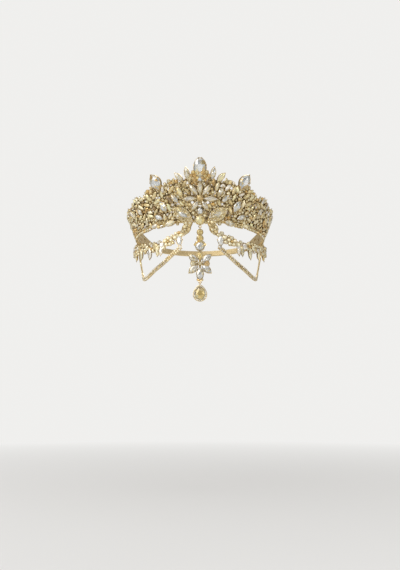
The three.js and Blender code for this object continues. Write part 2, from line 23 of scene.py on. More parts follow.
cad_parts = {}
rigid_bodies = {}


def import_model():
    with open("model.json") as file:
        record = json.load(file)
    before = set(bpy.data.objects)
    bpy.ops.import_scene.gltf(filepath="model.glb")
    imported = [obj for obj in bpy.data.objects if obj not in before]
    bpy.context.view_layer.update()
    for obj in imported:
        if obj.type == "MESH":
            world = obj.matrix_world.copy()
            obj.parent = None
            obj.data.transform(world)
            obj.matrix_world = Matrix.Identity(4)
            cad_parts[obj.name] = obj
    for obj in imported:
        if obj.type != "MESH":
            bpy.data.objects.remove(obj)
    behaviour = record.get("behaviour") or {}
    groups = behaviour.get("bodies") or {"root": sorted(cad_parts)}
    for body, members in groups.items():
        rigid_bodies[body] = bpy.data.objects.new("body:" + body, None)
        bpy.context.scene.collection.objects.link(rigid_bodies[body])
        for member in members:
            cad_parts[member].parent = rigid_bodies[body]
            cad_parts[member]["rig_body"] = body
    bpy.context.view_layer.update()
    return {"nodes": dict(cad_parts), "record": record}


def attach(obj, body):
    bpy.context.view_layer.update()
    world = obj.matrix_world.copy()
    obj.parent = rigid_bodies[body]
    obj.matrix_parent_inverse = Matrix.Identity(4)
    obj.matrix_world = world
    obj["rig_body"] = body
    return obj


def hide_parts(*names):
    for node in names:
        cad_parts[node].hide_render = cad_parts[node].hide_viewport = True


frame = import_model()
nodes = frame["nodes"]
MM = 0.001

# %% [markdown]
# The camera stands a little below the rim and looks up at the crown, as the photograph does. Its lens
# and distance come from how wide the far side of the rim looks against the near side.

# %% The camera
CAMERA_DISTANCE = 0.8
LOOK_UP = math.radians(11.5)
AIM = Vector((0, 0.0115, -0.0565))
FOCAL_PIXELS, FRAME_HEIGHT = 610, 570
SENSOR = 36


def make_camera():
    camera = bpy.data.objects.new("camera", bpy.data.cameras.new("camera"))
    bpy.context.scene.collection.objects.link(camera)
    ahead = Vector((0, math.cos(LOOK_UP), math.sin(LOOK_UP)))
    camera.location = AIM - CAMERA_DISTANCE * ahead
    camera.rotation_euler = ahead.to_track_quat("-Z", "Y").to_euler()
    camera.data.sensor_fit = "VERTICAL"
    camera.data.sensor_height = SENSOR
    camera.data.lens = SENSOR * FOCAL_PIXELS / FRAME_HEIGHT
    camera.data.clip_start = 0.01
    bpy.context.scene.camera = camera
    return camera


print("camera at", [round(c, 3) for c in make_camera().location])

# %% [markdown]
# Every finish here is made of a few kinds of node: noise over the surface, a stretch of its narrow range
# to a wider one, and a mix of two colours. They could be set up one by one in each material. Small
# functions that add a node and link it keep that short, and one of them feeds a socket either from
# another socket or with a plain value.

# %% Finishes: node helpers
FACTOR, COLOR_A, COLOR_B, COLOR_OUT = 0, 6, 7, 2  # places of a Mix node's sockets when it mixes colours
NOISE_LOW, NOISE_HIGH = 0.3, 0.7


def new_group(name, inputs, outputs):
    group = bpy.data.node_groups.new(name, "ShaderNodeTree")
    for label, kind, value in inputs:
        socket = group.interface.new_socket(label, in_out="INPUT", socket_type=kind)
        socket.default_value = value
    for label, kind in outputs:
        group.interface.new_socket(label, in_out="OUTPUT", socket_type=kind)
    return group, group.nodes.new("NodeGroupInput").outputs, group.nodes.new("NodeGroupOutput").inputs


def feed(tree, socket, value):
    """Link a socket to another one, or set it to a plain value."""
    if isinstance(value, bpy.types.NodeSocket):
        tree.links.new(value, socket)
    else:
        socket.default_value = value


def mix_colors(tree, factor, a, b):
    mix = tree.nodes.new("ShaderNodeMix")
    mix.data_type = "RGBA"
    for place, value in ((FACTOR, factor), (COLOR_A, a), (COLOR_B, b)):
        feed(tree, mix.inputs[place], value)
    return mix.outputs[COLOR_OUT]


def noise(tree, scale, detail=3.0):
    coordinates = tree.nodes.new("ShaderNodeTexCoord")
    texture = tree.nodes.new("ShaderNodeTexNoise")
    texture.inputs["Detail"].default_value = detail
    tree.links.new(coordinates.outputs["Object"], texture.inputs["Vector"])
    feed(tree, texture.inputs["Scale"], scale)
    return texture.outputs["Fac"]


def stretch(tree, value, low, high):
    """Noise keeps near its middle, so that part is drawn out over a whole range."""
    ranged = tree.nodes.new("ShaderNodeMapRange")
    limits = ("From Min", NOISE_LOW), ("From Max", NOISE_HIGH), ("To Min", low), ("To Max", high)
    for label, limit in (("Value", value), *limits):
        feed(tree, ranged.inputs[label], limit)
    return ranged.outputs["Result"]


print("noise is stretched from", NOISE_LOW, "to", NOISE_HIGH)

# %% [markdown]
# Gold plate on a cast alloy is never one flat colour: it is redder in the hollows and paler where it is
# rubbed, and its polish wavers. One node group gives that colour, roughness and height, and each metal
# of the crown uses it with its own two golds. A second group gives every stone its tint, which is kept
# on the mesh as an attribute, with faint clouds in it.

# %% Finishes: shared node groups
POLISH_SCALE, GRAIN_SCALE, CLOUD_SCALE = 900.0, 1600.0, 260.0


def make_plate_group():
    group, given, made = new_group(
        "gold_plate",
        [("Rubbed", "NodeSocketColor", (1, 0.8, 0.4, 1)), ("Hollow", "NodeSocketColor", (0.6, 0.4, 0.1, 1)),
         ("Polished", "NodeSocketFloat", 0.15), ("Dull", "NodeSocketFloat", 0.35),
         ("Patch Scale", "NodeSocketFloat", 220.0)],
        [("Color", "NodeSocketColor"), ("Roughness", "NodeSocketFloat"), ("Height", "NodeSocketFloat")])
    patches = stretch(group, noise(group, given["Patch Scale"]), 0.0, 1.0)
    rough = stretch(group, noise(group, POLISH_SCALE), given["Polished"], given["Dull"])
    group.links.new(mix_colors(group, patches, given["Hollow"], given["Rubbed"]), made["Color"])
    group.links.new(rough, made["Roughness"])
    group.links.new(noise(group, GRAIN_SCALE, 2.0), made["Height"])
    return group


def make_tint_group():
    group, given, made = new_group(
        "stone_tint",
        [("Cloud", "NodeSocketColor", (1, 0.9, 0.7, 1)), ("Cloudiness", "NodeSocketFloat", 0.2)],
        [("Color", "NodeSocketColor")])
    tint = group.nodes.new("ShaderNodeAttribute")
    tint.attribute_name = "tint"
    clouds = stretch(group, noise(group, CLOUD_SCALE), 0.0, given["Cloudiness"])
    group.links.new(mix_colors(group, clouds, tint.outputs["Color"], given["Cloud"]), made["Color"])
    return group


plate_group = make_plate_group()
tint_group = make_tint_group()
print("groups:", plate_group.name, tint_group.name)

# %% [markdown]
# Crystals for jewellery are glass with a mirror foil behind. Pure glass would show its dark seat, so
# the front of each main stone lets part of the light through and mirrors part of it, and its back is
# foil: two materials on one closed stone. Clear stones use crystal, lemon ones citrine, and pearly and
# deeper ones opal. The small stones show only their front, and for them a coated, half metallic surface
# with sharp facets gives the same play of light and dark for far less work.

# %% Finishes: materials
GRAIN_HEIGHT = 0.2 * MM
GLASS_IOR, COAT_ROUGHNESS = 1.56, 0.02


def principled(name):
    material = bpy.data.materials.new(name)
    material.use_nodes = True
    return material, material.node_tree, material.node_tree.nodes["Principled BSDF"]


def gold_material(name, rubbed, hollow, polished, dull, bump):
    """Gold plate: its two colours, its two roughnesses, and how strong its grain is."""
    material, tree, shader = principled(name)
    plate = tree.nodes.new("ShaderNodeGroup")
    plate.node_tree = plate_group
    plate.inputs["Rubbed"].default_value = (*rubbed, 1)
    plate.inputs["Hollow"].default_value = (*hollow, 1)
    plate.inputs["Polished"].default_value = polished
    plate.inputs["Dull"].default_value = dull
    relief = tree.nodes.new("ShaderNodeBump")
    relief.inputs["Strength"].default_value = bump
    relief.inputs["Distance"].default_value = GRAIN_HEIGHT
    shader.inputs["Metallic"].default_value = 1
    tree.links.new(plate.outputs["Color"], shader.inputs["Base Color"])
    tree.links.new(plate.outputs["Roughness"], shader.inputs["Roughness"])
    tree.links.new(plate.outputs["Height"], relief.inputs["Height"])
    tree.links.new(relief.outputs["Normal"], shader.inputs["Normal"])
    return material


def stone_material(name, cloud, cloudiness, metallic, transmission, roughness, coat):
    """A stone's surface: the colour and share of its clouds, then the shader's own values."""
    material, tree, shader = principled(name)
    tint = tree.nodes.new("ShaderNodeGroup")
    tint.node_tree = tint_group
    tint.inputs["Cloud"].default_value = (*cloud, 1)
    tint.inputs["Cloudiness"].default_value = cloudiness
    tree.links.new(tint.outputs["Color"], shader.inputs["Base Color"])
    shader.inputs["Metallic"].default_value = metallic
    shader.inputs["Transmission Weight"].default_value = transmission
    shader.inputs["Roughness"].default_value = roughness
    shader.inputs["IOR"].default_value = GLASS_IOR
    shader.inputs["Coat Weight"].default_value = coat
    shader.inputs["Coat Roughness"].default_value = COAT_ROUGHNESS
    return material


gilt = gold_material("gilt", (0.90, 0.76, 0.48), (0.58, 0.43, 0.20), 0.14, 0.34, 0.15)
cast_gilt = gold_material("cast_gilt", (0.82, 0.65, 0.35), (0.60, 0.44, 0.20), 0.16, 0.34, 0.05)
cup_gilt = gold_material("cup_gilt", (0.78, 0.60, 0.30), (0.38, 0.26, 0.11), 0.16, 0.36, 0.2)
# Satin gold: rougher, and darker as painted shade for the inner face.
satin_shade_gilt = gold_material("satin_shade_gilt", (0.64, 0.51, 0.29), (0.50, 0.38, 0.19), 0.42, 0.58, 0.06)
# Near black gold: painted shade for the dark gaps between the settings.
recess_shade_gilt = gold_material("recess_shade_gilt", (0.26, 0.18, 0.09), (0.09, 0.06, 0.03), 0.35, 0.6, 0.3)
crystal = stone_material("crystal", (0.95, 0.89, 0.70), 0.18, 0.4, 0.5, 0.05, 0.5)
opal = stone_material("opal", (1.0, 0.93, 0.62), 0.25, 0.25, 0.4, 0.05, 0.6)
citrine = stone_material("citrine", (1.0, 0.90, 0.58), 0.2, 0.3, 0.15, 0.07, 0.6)
foil = stone_material("foil", (0.96, 0.90, 0.74), 0.35, 1.0, 0.0, 0.1, 0.0)
small_crystal = stone_material("small_crystal", (0.96, 0.91, 0.74), 0.2, 0.45, 0.0, 0.2, 0.4)
made_here = gilt, cast_gilt, cup_gilt, satin_shade_gilt, recess_shade_gilt, crystal, opal, citrine, foil, small_crystal
print("materials:", [material.name for material in made_here])

# %% [markdown]
# Stones come in four outlines: the round, the oval, the navette with two points and the pear with one.
# An outline is a list of points in the stone's own plane, so that its cut, its cup, its claws and its
# collar can all follow it. The sides of a navette are parabolas, and a pear is an oval with one end
# drawn in.

# %% Outlines
PEAR_TAPER, PEAR_BEND, PEAR_BELLY = 0.42, 2.2, 1.06


def outline(kind, long, wide, count, shift=0.0):
    """Points round a stone's widest line, anticlockwise from +X, in its own plane."""
    points = []
    for i in range(count):
        turn = 2 * math.pi * (i + shift) / count
        if kind in ("round", "oval"):
            tall = long if kind == "oval" else wide
            points.append((wide / 2 * math.cos(turn), tall / 2 * math.sin(turn)))
        elif kind == "navette":
            share = 1 - abs(((turn / math.pi + 0.5) % 2) - 1) * 2
            side = 1 if math.cos(turn) > 0 else -1
            points.append((side * wide / 2 * (1 - share * share), long / 2 * share))
        else:
            reach = (1 + math.sin(turn)) / 2
            taper = math.cos(turn) * (1 - PEAR_TAPER * reach ** PEAR_BEND)
            points.append((wide / 2 * taper * PEAR_BELLY, long / 2 * math.sin(turn)))
    return points


def ring(kind, long, wide, count, height, share=1.0, shift=0.0):
    """An outline, drawn smaller by a share, at a height."""
    return [(x * share, y * share, height) for x, y in outline(kind, long, wide, count, shift)]


print("a navette in eight points:", [(round(x, 2), round(y, 2)) for x, y in outline("navette", 2, 1, 8)])

# %% [markdown]
# A gem is made as the hull round a few rings of points: a table on top, a ring half a step round between
# table and girdle, the girdle itself, and a point or keel below. Its facets could be drawn one by one.
# The hull operator finds them by itself, as a cutter's wheel does, for every outline.

# %% The cuts
TABLE_SHARE = 0.56
# Rings as shares of a stone's outline and of its height above the girdle, or depth below it.
CROWN_OUT, CROWN_UP = 0.83, 0.62
GIRDLE_WALL, BELOW_GIRDLE = 0.12, 0.13
PAVILION_OUT, PAVILION_DOWN = 0.6, 0.66
KEEL = 0.3
CHIP_TABLE, CHIP_UP, CHIP_FOOT, CHIP_DOWN = 0.5, 0.3, 0.9, 0.15


def solid_of(bm):
    """A finished bmesh as an array of vertices and a list of faces."""
    bm.verts.index_update()
    solid = np.array([v.co for v in bm.verts]), [[v.index for v in f.verts] for f in bm.faces]
    bm.free()
    return solid


def one_finish(solid):
    """A solid as a template: vertices, faces, and the first material for every face."""
    return *solid, [0] * len(solid[1])


def hull_of(points):
    """The closed convex solid round some points."""
    bm = bmesh.new()
    for point in points:
        bm.verts.new(point)
    made = bmesh.ops.convex_hull(bm, input=bm.verts)
    bmesh.ops.delete(bm, geom=list(set(made["geom_interior"] + made["geom_unused"])), context="VERTS")
    bmesh.ops.dissolve_limit(bm, angle_limit=math.radians(1), verts=bm.verts, edges=bm.edges)
    bmesh.ops.recalc_face_normals(bm, faces=bm.faces)
    return solid_of(bm)


def gem(kind, long, wide, count, crown, depth, table=TABLE_SHARE):
    """A cut stone with its girdle at height 0, that tall above it and that deep below. Its front has the
    first material and its back, below the girdle, the second."""
    size = kind, long, wide
    points = ring(*size, count, crown, table) + ring(*size, count, crown * CROWN_UP, CROWN_OUT, 0.5)
    points += ring(*size, 2 * count, 0) + ring(*size, 2 * count, -depth * GIRDLE_WALL)
    points += ring(*size, count, -depth * PAVILION_DOWN, PAVILION_OUT, 0.5)
    points += [(0, end * KEEL * (long - wide), -depth) for end in (1, -1)]
    vertices, faces = hull_of(points)
    return vertices, faces, [int(np.mean(vertices[f, 2]) < -depth * BELOW_GIRDLE) for f in faces]


def chip(kind, long, wide, count):
    """A small flat-backed stone: a table and one ring of facets."""
    size = kind, long, wide, count
    points = ring(*size, CHIP_UP * wide, CHIP_TABLE, 0.5) + ring(*size, 0)
    return one_finish(hull_of(points + ring(*size, -CHIP_DOWN * wide, CHIP_FOOT)))


facet_counts = len(gem("round", 1, 1, 8, 0.2, 0.3)[1]), len(chip("round", 1, 1, 8)[1])
print("facets of a round gem and of a chip:", facet_counts)

# %% [markdown]
# Claws hold every main stone. A claw stands outside the stone's edge, rises straight to a knee and leans
# in over the stone, so it is the hull round a square foot, the same square at the knee, and a narrow
# tip. Such small solids are joined where several make one setting.

# %% Claws
# Shares of a claw's size: half its width, its foot outward, its tip inward, its back and its front.
CLAW_HALF, FOOT_OUT, TIP_IN, CLAW_BACK, CLAW_FRONT = 0.5, 0.5, 0.55, 0.4, 0.3
KNEE, TIP_WIDTH, TIP_DEPTH = 0.62, 0.7, 0.5


def joined(solids):
    """Several solids as one."""
    vertices, faces, start = [], [], 0
    for solid_vertices, solid_faces in solids:
        vertices.append(np.asarray(solid_vertices))
        faces += [[i + start for i in f] for f in solid_faces]
        start += len(solid_vertices)
    return np.vstack(vertices), faces


def claw(x, y, size, low, high):
    """A claw at a point of a stone's edge, from one height to another."""
    inward = Vector((-x, -y, 0)).normalized() * size
    side, back, front = Vector((-inward.y, inward.x, 0)) * CLAW_HALF, inward * CLAW_BACK, inward * CLAW_FRONT
    foot, tip = Vector((x, y, low)) - inward * FOOT_OUT, Vector((x, y, high)) + inward * TIP_IN
    points = [foot - side - back, foot + side - back, foot + side + front, foot - side + front]
    knee = Vector((0, 0, KNEE * (high - low)))
    points += [p + knee for p in points]
    points += [tip - side * TIP_WIDTH, tip + side * TIP_WIDTH, tip - Vector((0, 0, size * TIP_DEPTH))]
    return hull_of(points)


print("a claw has", len(claw(1, 0, 0.2, -0.3, 0.4)[1]), "faces")

# %% [markdown]
# Hundreds of stones would be slow as objects of their own. A tray collects places for a template, each
# with its tint, and is then cast as one joined mesh from arrays. The tint is kept for each face corner,
# so every facet gets its own painted reflection: a little darker or lighter at random, and the lighter
# ones a little warmer.

# %% Trays of stones
luck = random.Random(7)
# FOIL_DEPTH pales the painted reflections on foil facets. OUT_TO_GOLD and DOWN_TO_GOLD point to the gold that
# a facet's painted reflection shows, and STRAY lets that choice stray at random.
FOIL_DEPTH = 0.45
OUT_TO_GOLD, DOWN_TO_GOLD, STRAY = 0.6, -0.8, 0.35
NEAR_EDGE, AT_TABLE = 0.3, 0.99
DARKER, LIGHTER = -1, 0.45
GREEN_LOSS, BLUE_LOSS = 0.3, 0.8


def drawn(palette):
    """One tint from a palette of tints and their shares."""
    return luck.choices([tint for tint, _ in palette], [share for _, share in palette])[0]


def add_piece(name, mesh, body, replaced=()):
    """Put a mesh in the scene as a piece that rides on a body."""
    piece = bpy.data.objects.new(name, mesh)
    bpy.context.scene.collection.objects.link(piece)
    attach(piece, body)
    if replaced:
        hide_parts(*replaced)
    return piece


class Tray:
    def __init__(self):
        self.vertices, self.faces, self.slots, self.tints, self.start = [], [], [], [], 0

    def lay(self, template, matrix, tint=(1, 1, 1), play=0.0, edge_reflection_tint=None, facets=None):
        """Add a template. play is how much painted reflection makes its facets differ in light; the edge tint
        is
        the painted reflection of gold on the foil at its edge, and facets are two palettes of painted
        reflections:
        for those that face the sky and those that face the gold."""
        vertices, faces, slots = template
        placed = vertices @ np.array(matrix.to_3x3()).T + np.array(matrix.translation)
        to_gold = np.array((math.copysign(OUT_TO_GOLD, matrix.translation.x + MM), 0, DOWN_TO_GOLD))
        self.vertices.append(placed)
        self.faces += [[i + self.start for i in f] for f in faces]
        self.slots += slots
        self.start += len(placed)
        for face, slot in zip(faces, slots):
            heights = vertices[face, 2]
            # Painted reflection of the gold on the foil near the girdle.
            at_edge = edge_reflection_tint and slot and heights.max() > NEAR_EDGE * vertices[:, 2].min()
            is_table = heights.min() > AT_TABLE * vertices[:, 2].max()
            base = edge_reflection_tint if at_edge else tint
            # Painted reflection: a facet that faces the sky gets a sky tint, one that faces the gold a gold
            # tint.
            if facets and not is_table and not at_edge:
                a, b, c = placed[face[:3]]
                slant = np.cross(b - a, c - b)
                slant /= np.linalg.norm(slant) + 1e-12
                base = drawn(facets[int(slant @ to_gold + luck.uniform(-STRAY, STRAY) > 0)])
                base = tuple(1 - FOIL_DEPTH * (1 - c) for c in base) if slot else base
            # Painted reflection at random: each facet a little lighter or darker, the lighter ones warmer.
            light, warmth = 1 + play * luck.uniform(DARKER, LIGHTER), play * luck.random() ** 2
            red, green, blue = (c * light for c in base)
            color = red, green * (1 - GREEN_LOSS * warmth), blue * (1 - BLUE_LOSS * warmth), 1
            self.tints += color * len(face)

    def cast(self, name, materials, body, slot, replaced=()):
        """The tray's templates as one piece."""
        mesh = bpy.data.meshes.new(name)
        mesh.from_pydata(np.vstack(self.vertices).tolist(), [], self.faces)
        for material in materials:
            mesh.materials.append(material)
        mesh.polygons.foreach_set("material_index", self.slots)
        tint = mesh.attributes.new("tint", "FLOAT_COLOR", "CORNER")
        tint.data.foreach_set("color", self.tints)
        add_piece(name, mesh, body, replaced)
        print(name + ":", len(self.faces), "faces")


print("first draw of the seeded luck:", round(random.Random(7).random(), 4))

# %% [markdown]
# The CAD model is loose triangles. Once they are joined, those that lie flat together can be dissolved
# into one face, which is a facet of a stone or a flat of the metal. The corners of a stone give its
# middle, its longest way and its width, and a matrix keeps where it lies and how it is turned.

# %% Facets of the CAD model
Stone = namedtuple("Stone", "matrix kind long wide")
ROUND_UP_TO = 1.12
SAME_PLACE, SAME_PLANE = 1e-6, math.radians(0.7)


def matrix_of(x, y, z, place=(0, 0, 0)):
    """A matrix that turns a template's own axes to x, y and z and moves it to a place."""
    matrix = Matrix((x, y, z)).transposed().to_4x4()
    matrix.translation = place
    return matrix


def axes_of(matrix):
    return [matrix.col[i].to_3d() for i in range(3)]


def merged(node):
    """A CAD node's mesh as a bmesh, its loose triangles joined."""
    bm = bmesh.new()
    bm.from_mesh(nodes[node].data)
    bmesh.ops.remove_doubles(bm, verts=bm.verts, dist=SAME_PLACE)
    return bm


def flat_facets(node):
    """The flat faces of a CAD node: corners, direction and area of each."""
    bm = merged(node)
    bmesh.ops.dissolve_limit(bm, angle_limit=SAME_PLANE, verts=bm.verts, edges=bm.edges)
    found = [([v.co.copy() for v in f.verts], f.normal.copy(), f.calc_area()) for f in bm.faces]
    bm.free()
    return found


def stone_place(corners, normal, grow=1.0):
    """Where a stone lies and how large it is, from its table's corners or all its corners."""
    co, facing_way = np.array([tuple(c) for c in corners]), np.array(normal)
    middle = co.mean(0)
    flat = (co - middle) - np.outer((co - middle) @ facing_way, facing_way)
    gaps = np.linalg.norm(flat[:, None] - flat[None], axis=2)
    i, j = np.unravel_index(gaps.argmax(), gaps.shape)
    y = Vector(flat[i] - flat[j]).normalized()
    x = y.cross(normal).normalized()
    across, along = flat @ np.array(x), flat @ np.array(y)
    long, wide = np.ptp(along) * grow, np.ptp(across) * grow
    kind = "round" if long < ROUND_UP_TO * wide else "navette"
    centre = Vector(middle) + x * (across.max() + across.min()) / 2 + y * (along.max() + along.min()) / 2
    return Stone(matrix_of(x, y, normal, centre), kind, long, wide)


print("facets of the top stone in the CAD model:", len(flat_facets("top_stone")))

# %% [markdown]
# The CAD stones say where each main stone is: their largest facet is the table, which gives the
# direction it faces, and their spread in that plane gives its length and its width. The top stone is an
# oval, and the stones named pear or drop have one narrow end, which points up.

# %% Reading the main stones
SEAT_DEPTH, CROWN_BASE, CROWN_SLOPE = 1.2 * MM, 0.8 * MM, 0.11
STONE_FACES = 90


def girdle_share(wide):
    """Share of a CAD stone's height that lies below its girdle."""
    return SEAT_DEPTH / (SEAT_DEPTH + CROWN_BASE + CROWN_SLOPE * wide)


def cad_stone(node):
    """A main stone, with its place in the middle of its girdle."""
    facets = flat_facets(node)
    normal = max(facets, key=lambda facet: facet[2])[1]
    every = [c for corners, _, _ in facets for c in corners]
    matrix, kind, long, wide = stone_place(every, normal)
    centre = matrix.translation.copy()
    kind = "oval" if node == "top_stone" else "pear" if "pear" in node or "drop" in node else kind
    if kind == "round":
        up = (Vector((0, 0, 1)) - normal * normal.z).normalized()
        matrix = matrix_of(up.cross(normal), up, normal)
    elif matrix.col[1].z < 0:
        matrix = matrix @ Matrix.Rotation(math.pi, 4, "Z")
    heights = [c.dot(normal) for c in every]
    girdle = min(heights) + (max(heights) - min(heights)) * girdle_share(wide)
    matrix.translation = centre + normal * (girdle - centre.dot(normal))
    return Stone(matrix, kind, long, wide)


main_stones = {n: cad_stone(n) for n, o in nodes.items() if len(o.data.polygons) < STONE_FACES}
largest = max(main_stones, key=lambda n: main_stones[n].long)
print("main stones:", len(main_stones), "largest:", largest, round(main_stones[largest].long / MM, 1), "mm")

# %% [markdown]
# A foiled crystal has no colour of its own: it mirrors what is round it. Here that is painted into the
# facets' tints: facets that look up get a painted reflection of the pale sky of the room, with a little
# blue, and facets that look down and outward a painted reflection of the gold they sit on. So each glass
# has a colour for its table and two palettes of painted reflections, one for either side, and the facets
# are drawn from them. The few stones that are truly coloured, lemon, honey and amber, keep to their hue.

# %% Colours of the stones and their painted reflections
WHITE, ICE, SKY, PEARL = (0.97, 0.97, 0.95), (0.92, 0.95, 0.97), (0.70, 0.78, 0.87), (0.93, 0.90, 0.84)
LEMON, CREAM, CHAMPAGNE = (0.98, 0.90, 0.54), (0.93, 0.85, 0.58), (0.82, 0.68, 0.35)
HONEY, AMBER, UMBER = (0.95, 0.72, 0.26), (0.76, 0.49, 0.14), (0.32, 0.20, 0.08)
CLEAR, SUNNY = ("ice", "crest", "peak", "tan"), ("lemon", "straw")
# Each glass: its table tint, then painted reflections for facets facing the sky and for those facing the
# gold.
GLASSES = {  # table, facets to the sky, facets to the gold
    "ice": (ICE, [(WHITE, 45), (ICE, 30), (SKY, 25)], [(ICE, 42), (CREAM, 30), (SKY, 16), (CHAMPAGNE, 12)]),
    "pearl": (PEARL, [(WHITE, 60), (PEARL, 30), (CREAM, 10)],
              [(PEARL, 40), (CREAM, 30), (CHAMPAGNE, 24), (UMBER, 6)]),
    "crest": (ICE, [(WHITE, 50), (ICE, 20), (SKY, 30)],
              [(SKY, 25), (CREAM, 25), (CHAMPAGNE, 25), (AMBER, 25)]),
    "peak": (ICE, [(WHITE, 25), (ICE, 20), (SKY, 55)], [(ICE, 35), (SKY, 25), (CHAMPAGNE, 15), (AMBER, 25)]),
    "tan": (CHAMPAGNE, [(WHITE, 55), (PEARL, 30), (CHAMPAGNE, 15)],
            [(PEARL, 40), (CREAM, 40), (CHAMPAGNE, 20)]),
    "drop": (HONEY, [(HONEY, 30), (CHAMPAGNE, 25), (UMBER, 45)], [(LEMON, 25), (HONEY, 60), (AMBER, 15)]),
    "lemon": (LEMON, [(WHITE, 30), (LEMON, 70)], [(LEMON, 55), (HONEY, 30), (CHAMPAGNE, 15)]),
    "straw": (LEMON, [(WHITE, 40), (LEMON, 60)], [(LEMON, 80), (CREAM, 20)]),
    "honey": (HONEY, [(LEMON, 30), (HONEY, 50), (UMBER, 20)], [(LEMON, 30), (HONEY, 50), (AMBER, 20)]),
    "amber": (AMBER, [(CHAMPAGNE, 35), (AMBER, 65)], [(AMBER, 70), (UMBER, 30)]),
}
GLASS_OF = {  # by how a stone's name starts, the longer start first
    "top": "crest", "peak": "peak", "centre_pear": "ice", "broad": "ice", "low": "ice",
    "wing_stone_right": "pearl", "wing": "ice", "star_upper_left": "tan",
    "spray_inner_right": "ice", "spray_outer_right": "straw", "spray": "pearl", "petal": "pearl",
    "upper_leaf_left": "lemon", "upper": "pearl", "middle": "ice", "rim": "pearl", "far": "pearl",
    "centre_round": "lemon", "flower": "amber", "stem_stone": "honey", "stem_round": "ice",
    "star_top": "honey", "star_bottom": "ice", "star_upper_right": "ice", "star_lower_right": "ice",
    "star": "pearl", "drop": "drop",
}


def glass_of(node):
    return next(glass for start, glass in GLASS_OF.items() if node.startswith(start))


print("glasses:", list(GLASSES))

# %% [markdown]
# Each main stone is a gem of the length and width that the CAD model gives, drawn half a millimetre
# larger so that its girdle hides most of the bezel, as a setter's stone does. Large stones have a
# smaller table, which leaves more of them to the slanting facets. Claws fold over the edge: at the two
# points and four sides of a navette, and at even places round the others.

# %% Setting the main stones
CLAWS = {  # places of the claws among 24 round the edge
    "round": (3, 9, 15, 21), "oval": (1, 5, 7, 11, 13, 17, 19, 23),
    "navette": (6, 18, 2, 10, 14, 22), "pear": (6, 1, 11, 15, 21),
}
EDGE_PLACES, CUT_SIDES = 24, 8
LARGE = 9 * MM
LARGE_TABLE, NAVETTE_TABLE, ROUND_TABLE = 0.42, 0.34, 0.48
OVERLAP, RAISED, SEAT_GAP = 0.5 * MM, 0.35 * MM, 0.08 * MM
CUT_SLOPE, MAIN_PLAY = 0.17, 0.24
CLAW_BASE, CLAW_SLOPE = 0.5 * MM, 0.035
CLAW_LOW, CLAW_HIGH, CLAW_RISE = -0.3 * MM, 0.45 * MM, 0.05


def body_of(node):
    return nodes[node]["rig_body"]


def cut_stone(node, matrix, kind, long, wide):
    """One main stone as a piece that replaces its CAD node."""
    stone, glass = Tray(), glass_of(node)
    table, sky, gold = GLASSES[glass]
    tall, deep = CROWN_BASE + CUT_SLOPE * wide, SEAT_DEPTH + RAISED - SEAT_GAP
    share = LARGE_TABLE if wide > LARGE else NAVETTE_TABLE if kind == "navette" else ROUND_TABLE
    cut = gem(kind, long + 2 * OVERLAP, wide + 2 * OVERLAP, CUT_SIDES, tall, deep, share)
    # The facets get painted reflections: champagne at the foil's edge, and tints from the sky and gold
    # palettes.
    stone.lay(cut, matrix, table, MAIN_PLAY, CHAMPAGNE, (sky, gold))
    slot = next(s["material_slot"] for s in frame["record"]["subparts"] if s["node"] == node)
    front = crystal if glass in CLEAR else citrine if glass in SUNNY else opal
    stone.cast(node + "_cut", [front, foil], body_of(node), slot, [node])


def set_main_stones():
    """Every main stone as a piece, and the claws of each body as one more."""
    claws = {body: Tray() for body in ("crown", "pendant", "drop")}
    for node, (matrix, kind, long, wide) in main_stones.items():
        matrix = matrix @ Matrix.Translation((0, 0, RAISED))
        cut_stone(node, matrix, kind, long, wide)
        edge = outline(kind, long + 2 * OVERLAP, wide + 2 * OVERLAP, EDGE_PLACES)
        for i in CLAWS[kind]:
            solid = claw(*edge[i], CLAW_BASE + CLAW_SLOPE * wide, CLAW_LOW, CLAW_HIGH + CLAW_RISE * wide)
            claws[body_of(node)].lay(one_finish(solid), matrix)
    for body, tray in claws.items():
        tray.cast(body + "_claws", [gilt], body, "gilt_metal")


set_main_stones()

# %% [markdown]
# The cast metal keeps the shape that the CAD model gives it. Its triangles are joined, and it is shaded
# smooth except along its real edges, so that curved walls look turned and not faceted. The band has
# four materials: near black gold between the settings, painted shade for the dark gaps there, a deeper
# gold on the settings themselves, satin gold on the inner face, rougher and painted darker as shade, and
# bright gold on the rest. A face's side of the flared wall and its height over it say which one it gets.

# %% The cast metal
RIM_RADIUS = 82 * MM
FLARE = math.radians(21)
SHARP_FROM = math.radians(28)
SHADED_RECESS, SATIN_SHADE, SETTING = 1, 2, 3
RECESS_LOW, RECESS_HIGH, SATIN_BELOW = -1.1 * MM, 0.3 * MM, -0.9 * MM
FACES_OUT, FACES_IN = 0.9, -0.8
DARK_TO = 0.6 * RIM_RADIUS


def over_wall(point):
    """How far a point stands out from the wall's outer face."""
    x, y, z = point
    return (math.hypot(x, y) - RIM_RADIUS - z * math.tan(FLARE)) * math.cos(FLARE)


def smoothed(node, material):
    """A CAD node's shape as a piece, shaded smooth except along its real edges."""
    vertices, faces = solid_of(merged(node))
    mesh = bpy.data.meshes.new(node + "_gilt")
    mesh.from_pydata(vertices.tolist(), [], faces)
    mesh.materials.append(material)
    mesh.shade_smooth()
    mesh.set_sharp_from_angle(angle=SHARP_FROM)
    return add_piece(node + "_gilt", mesh, body_of(node), [node])


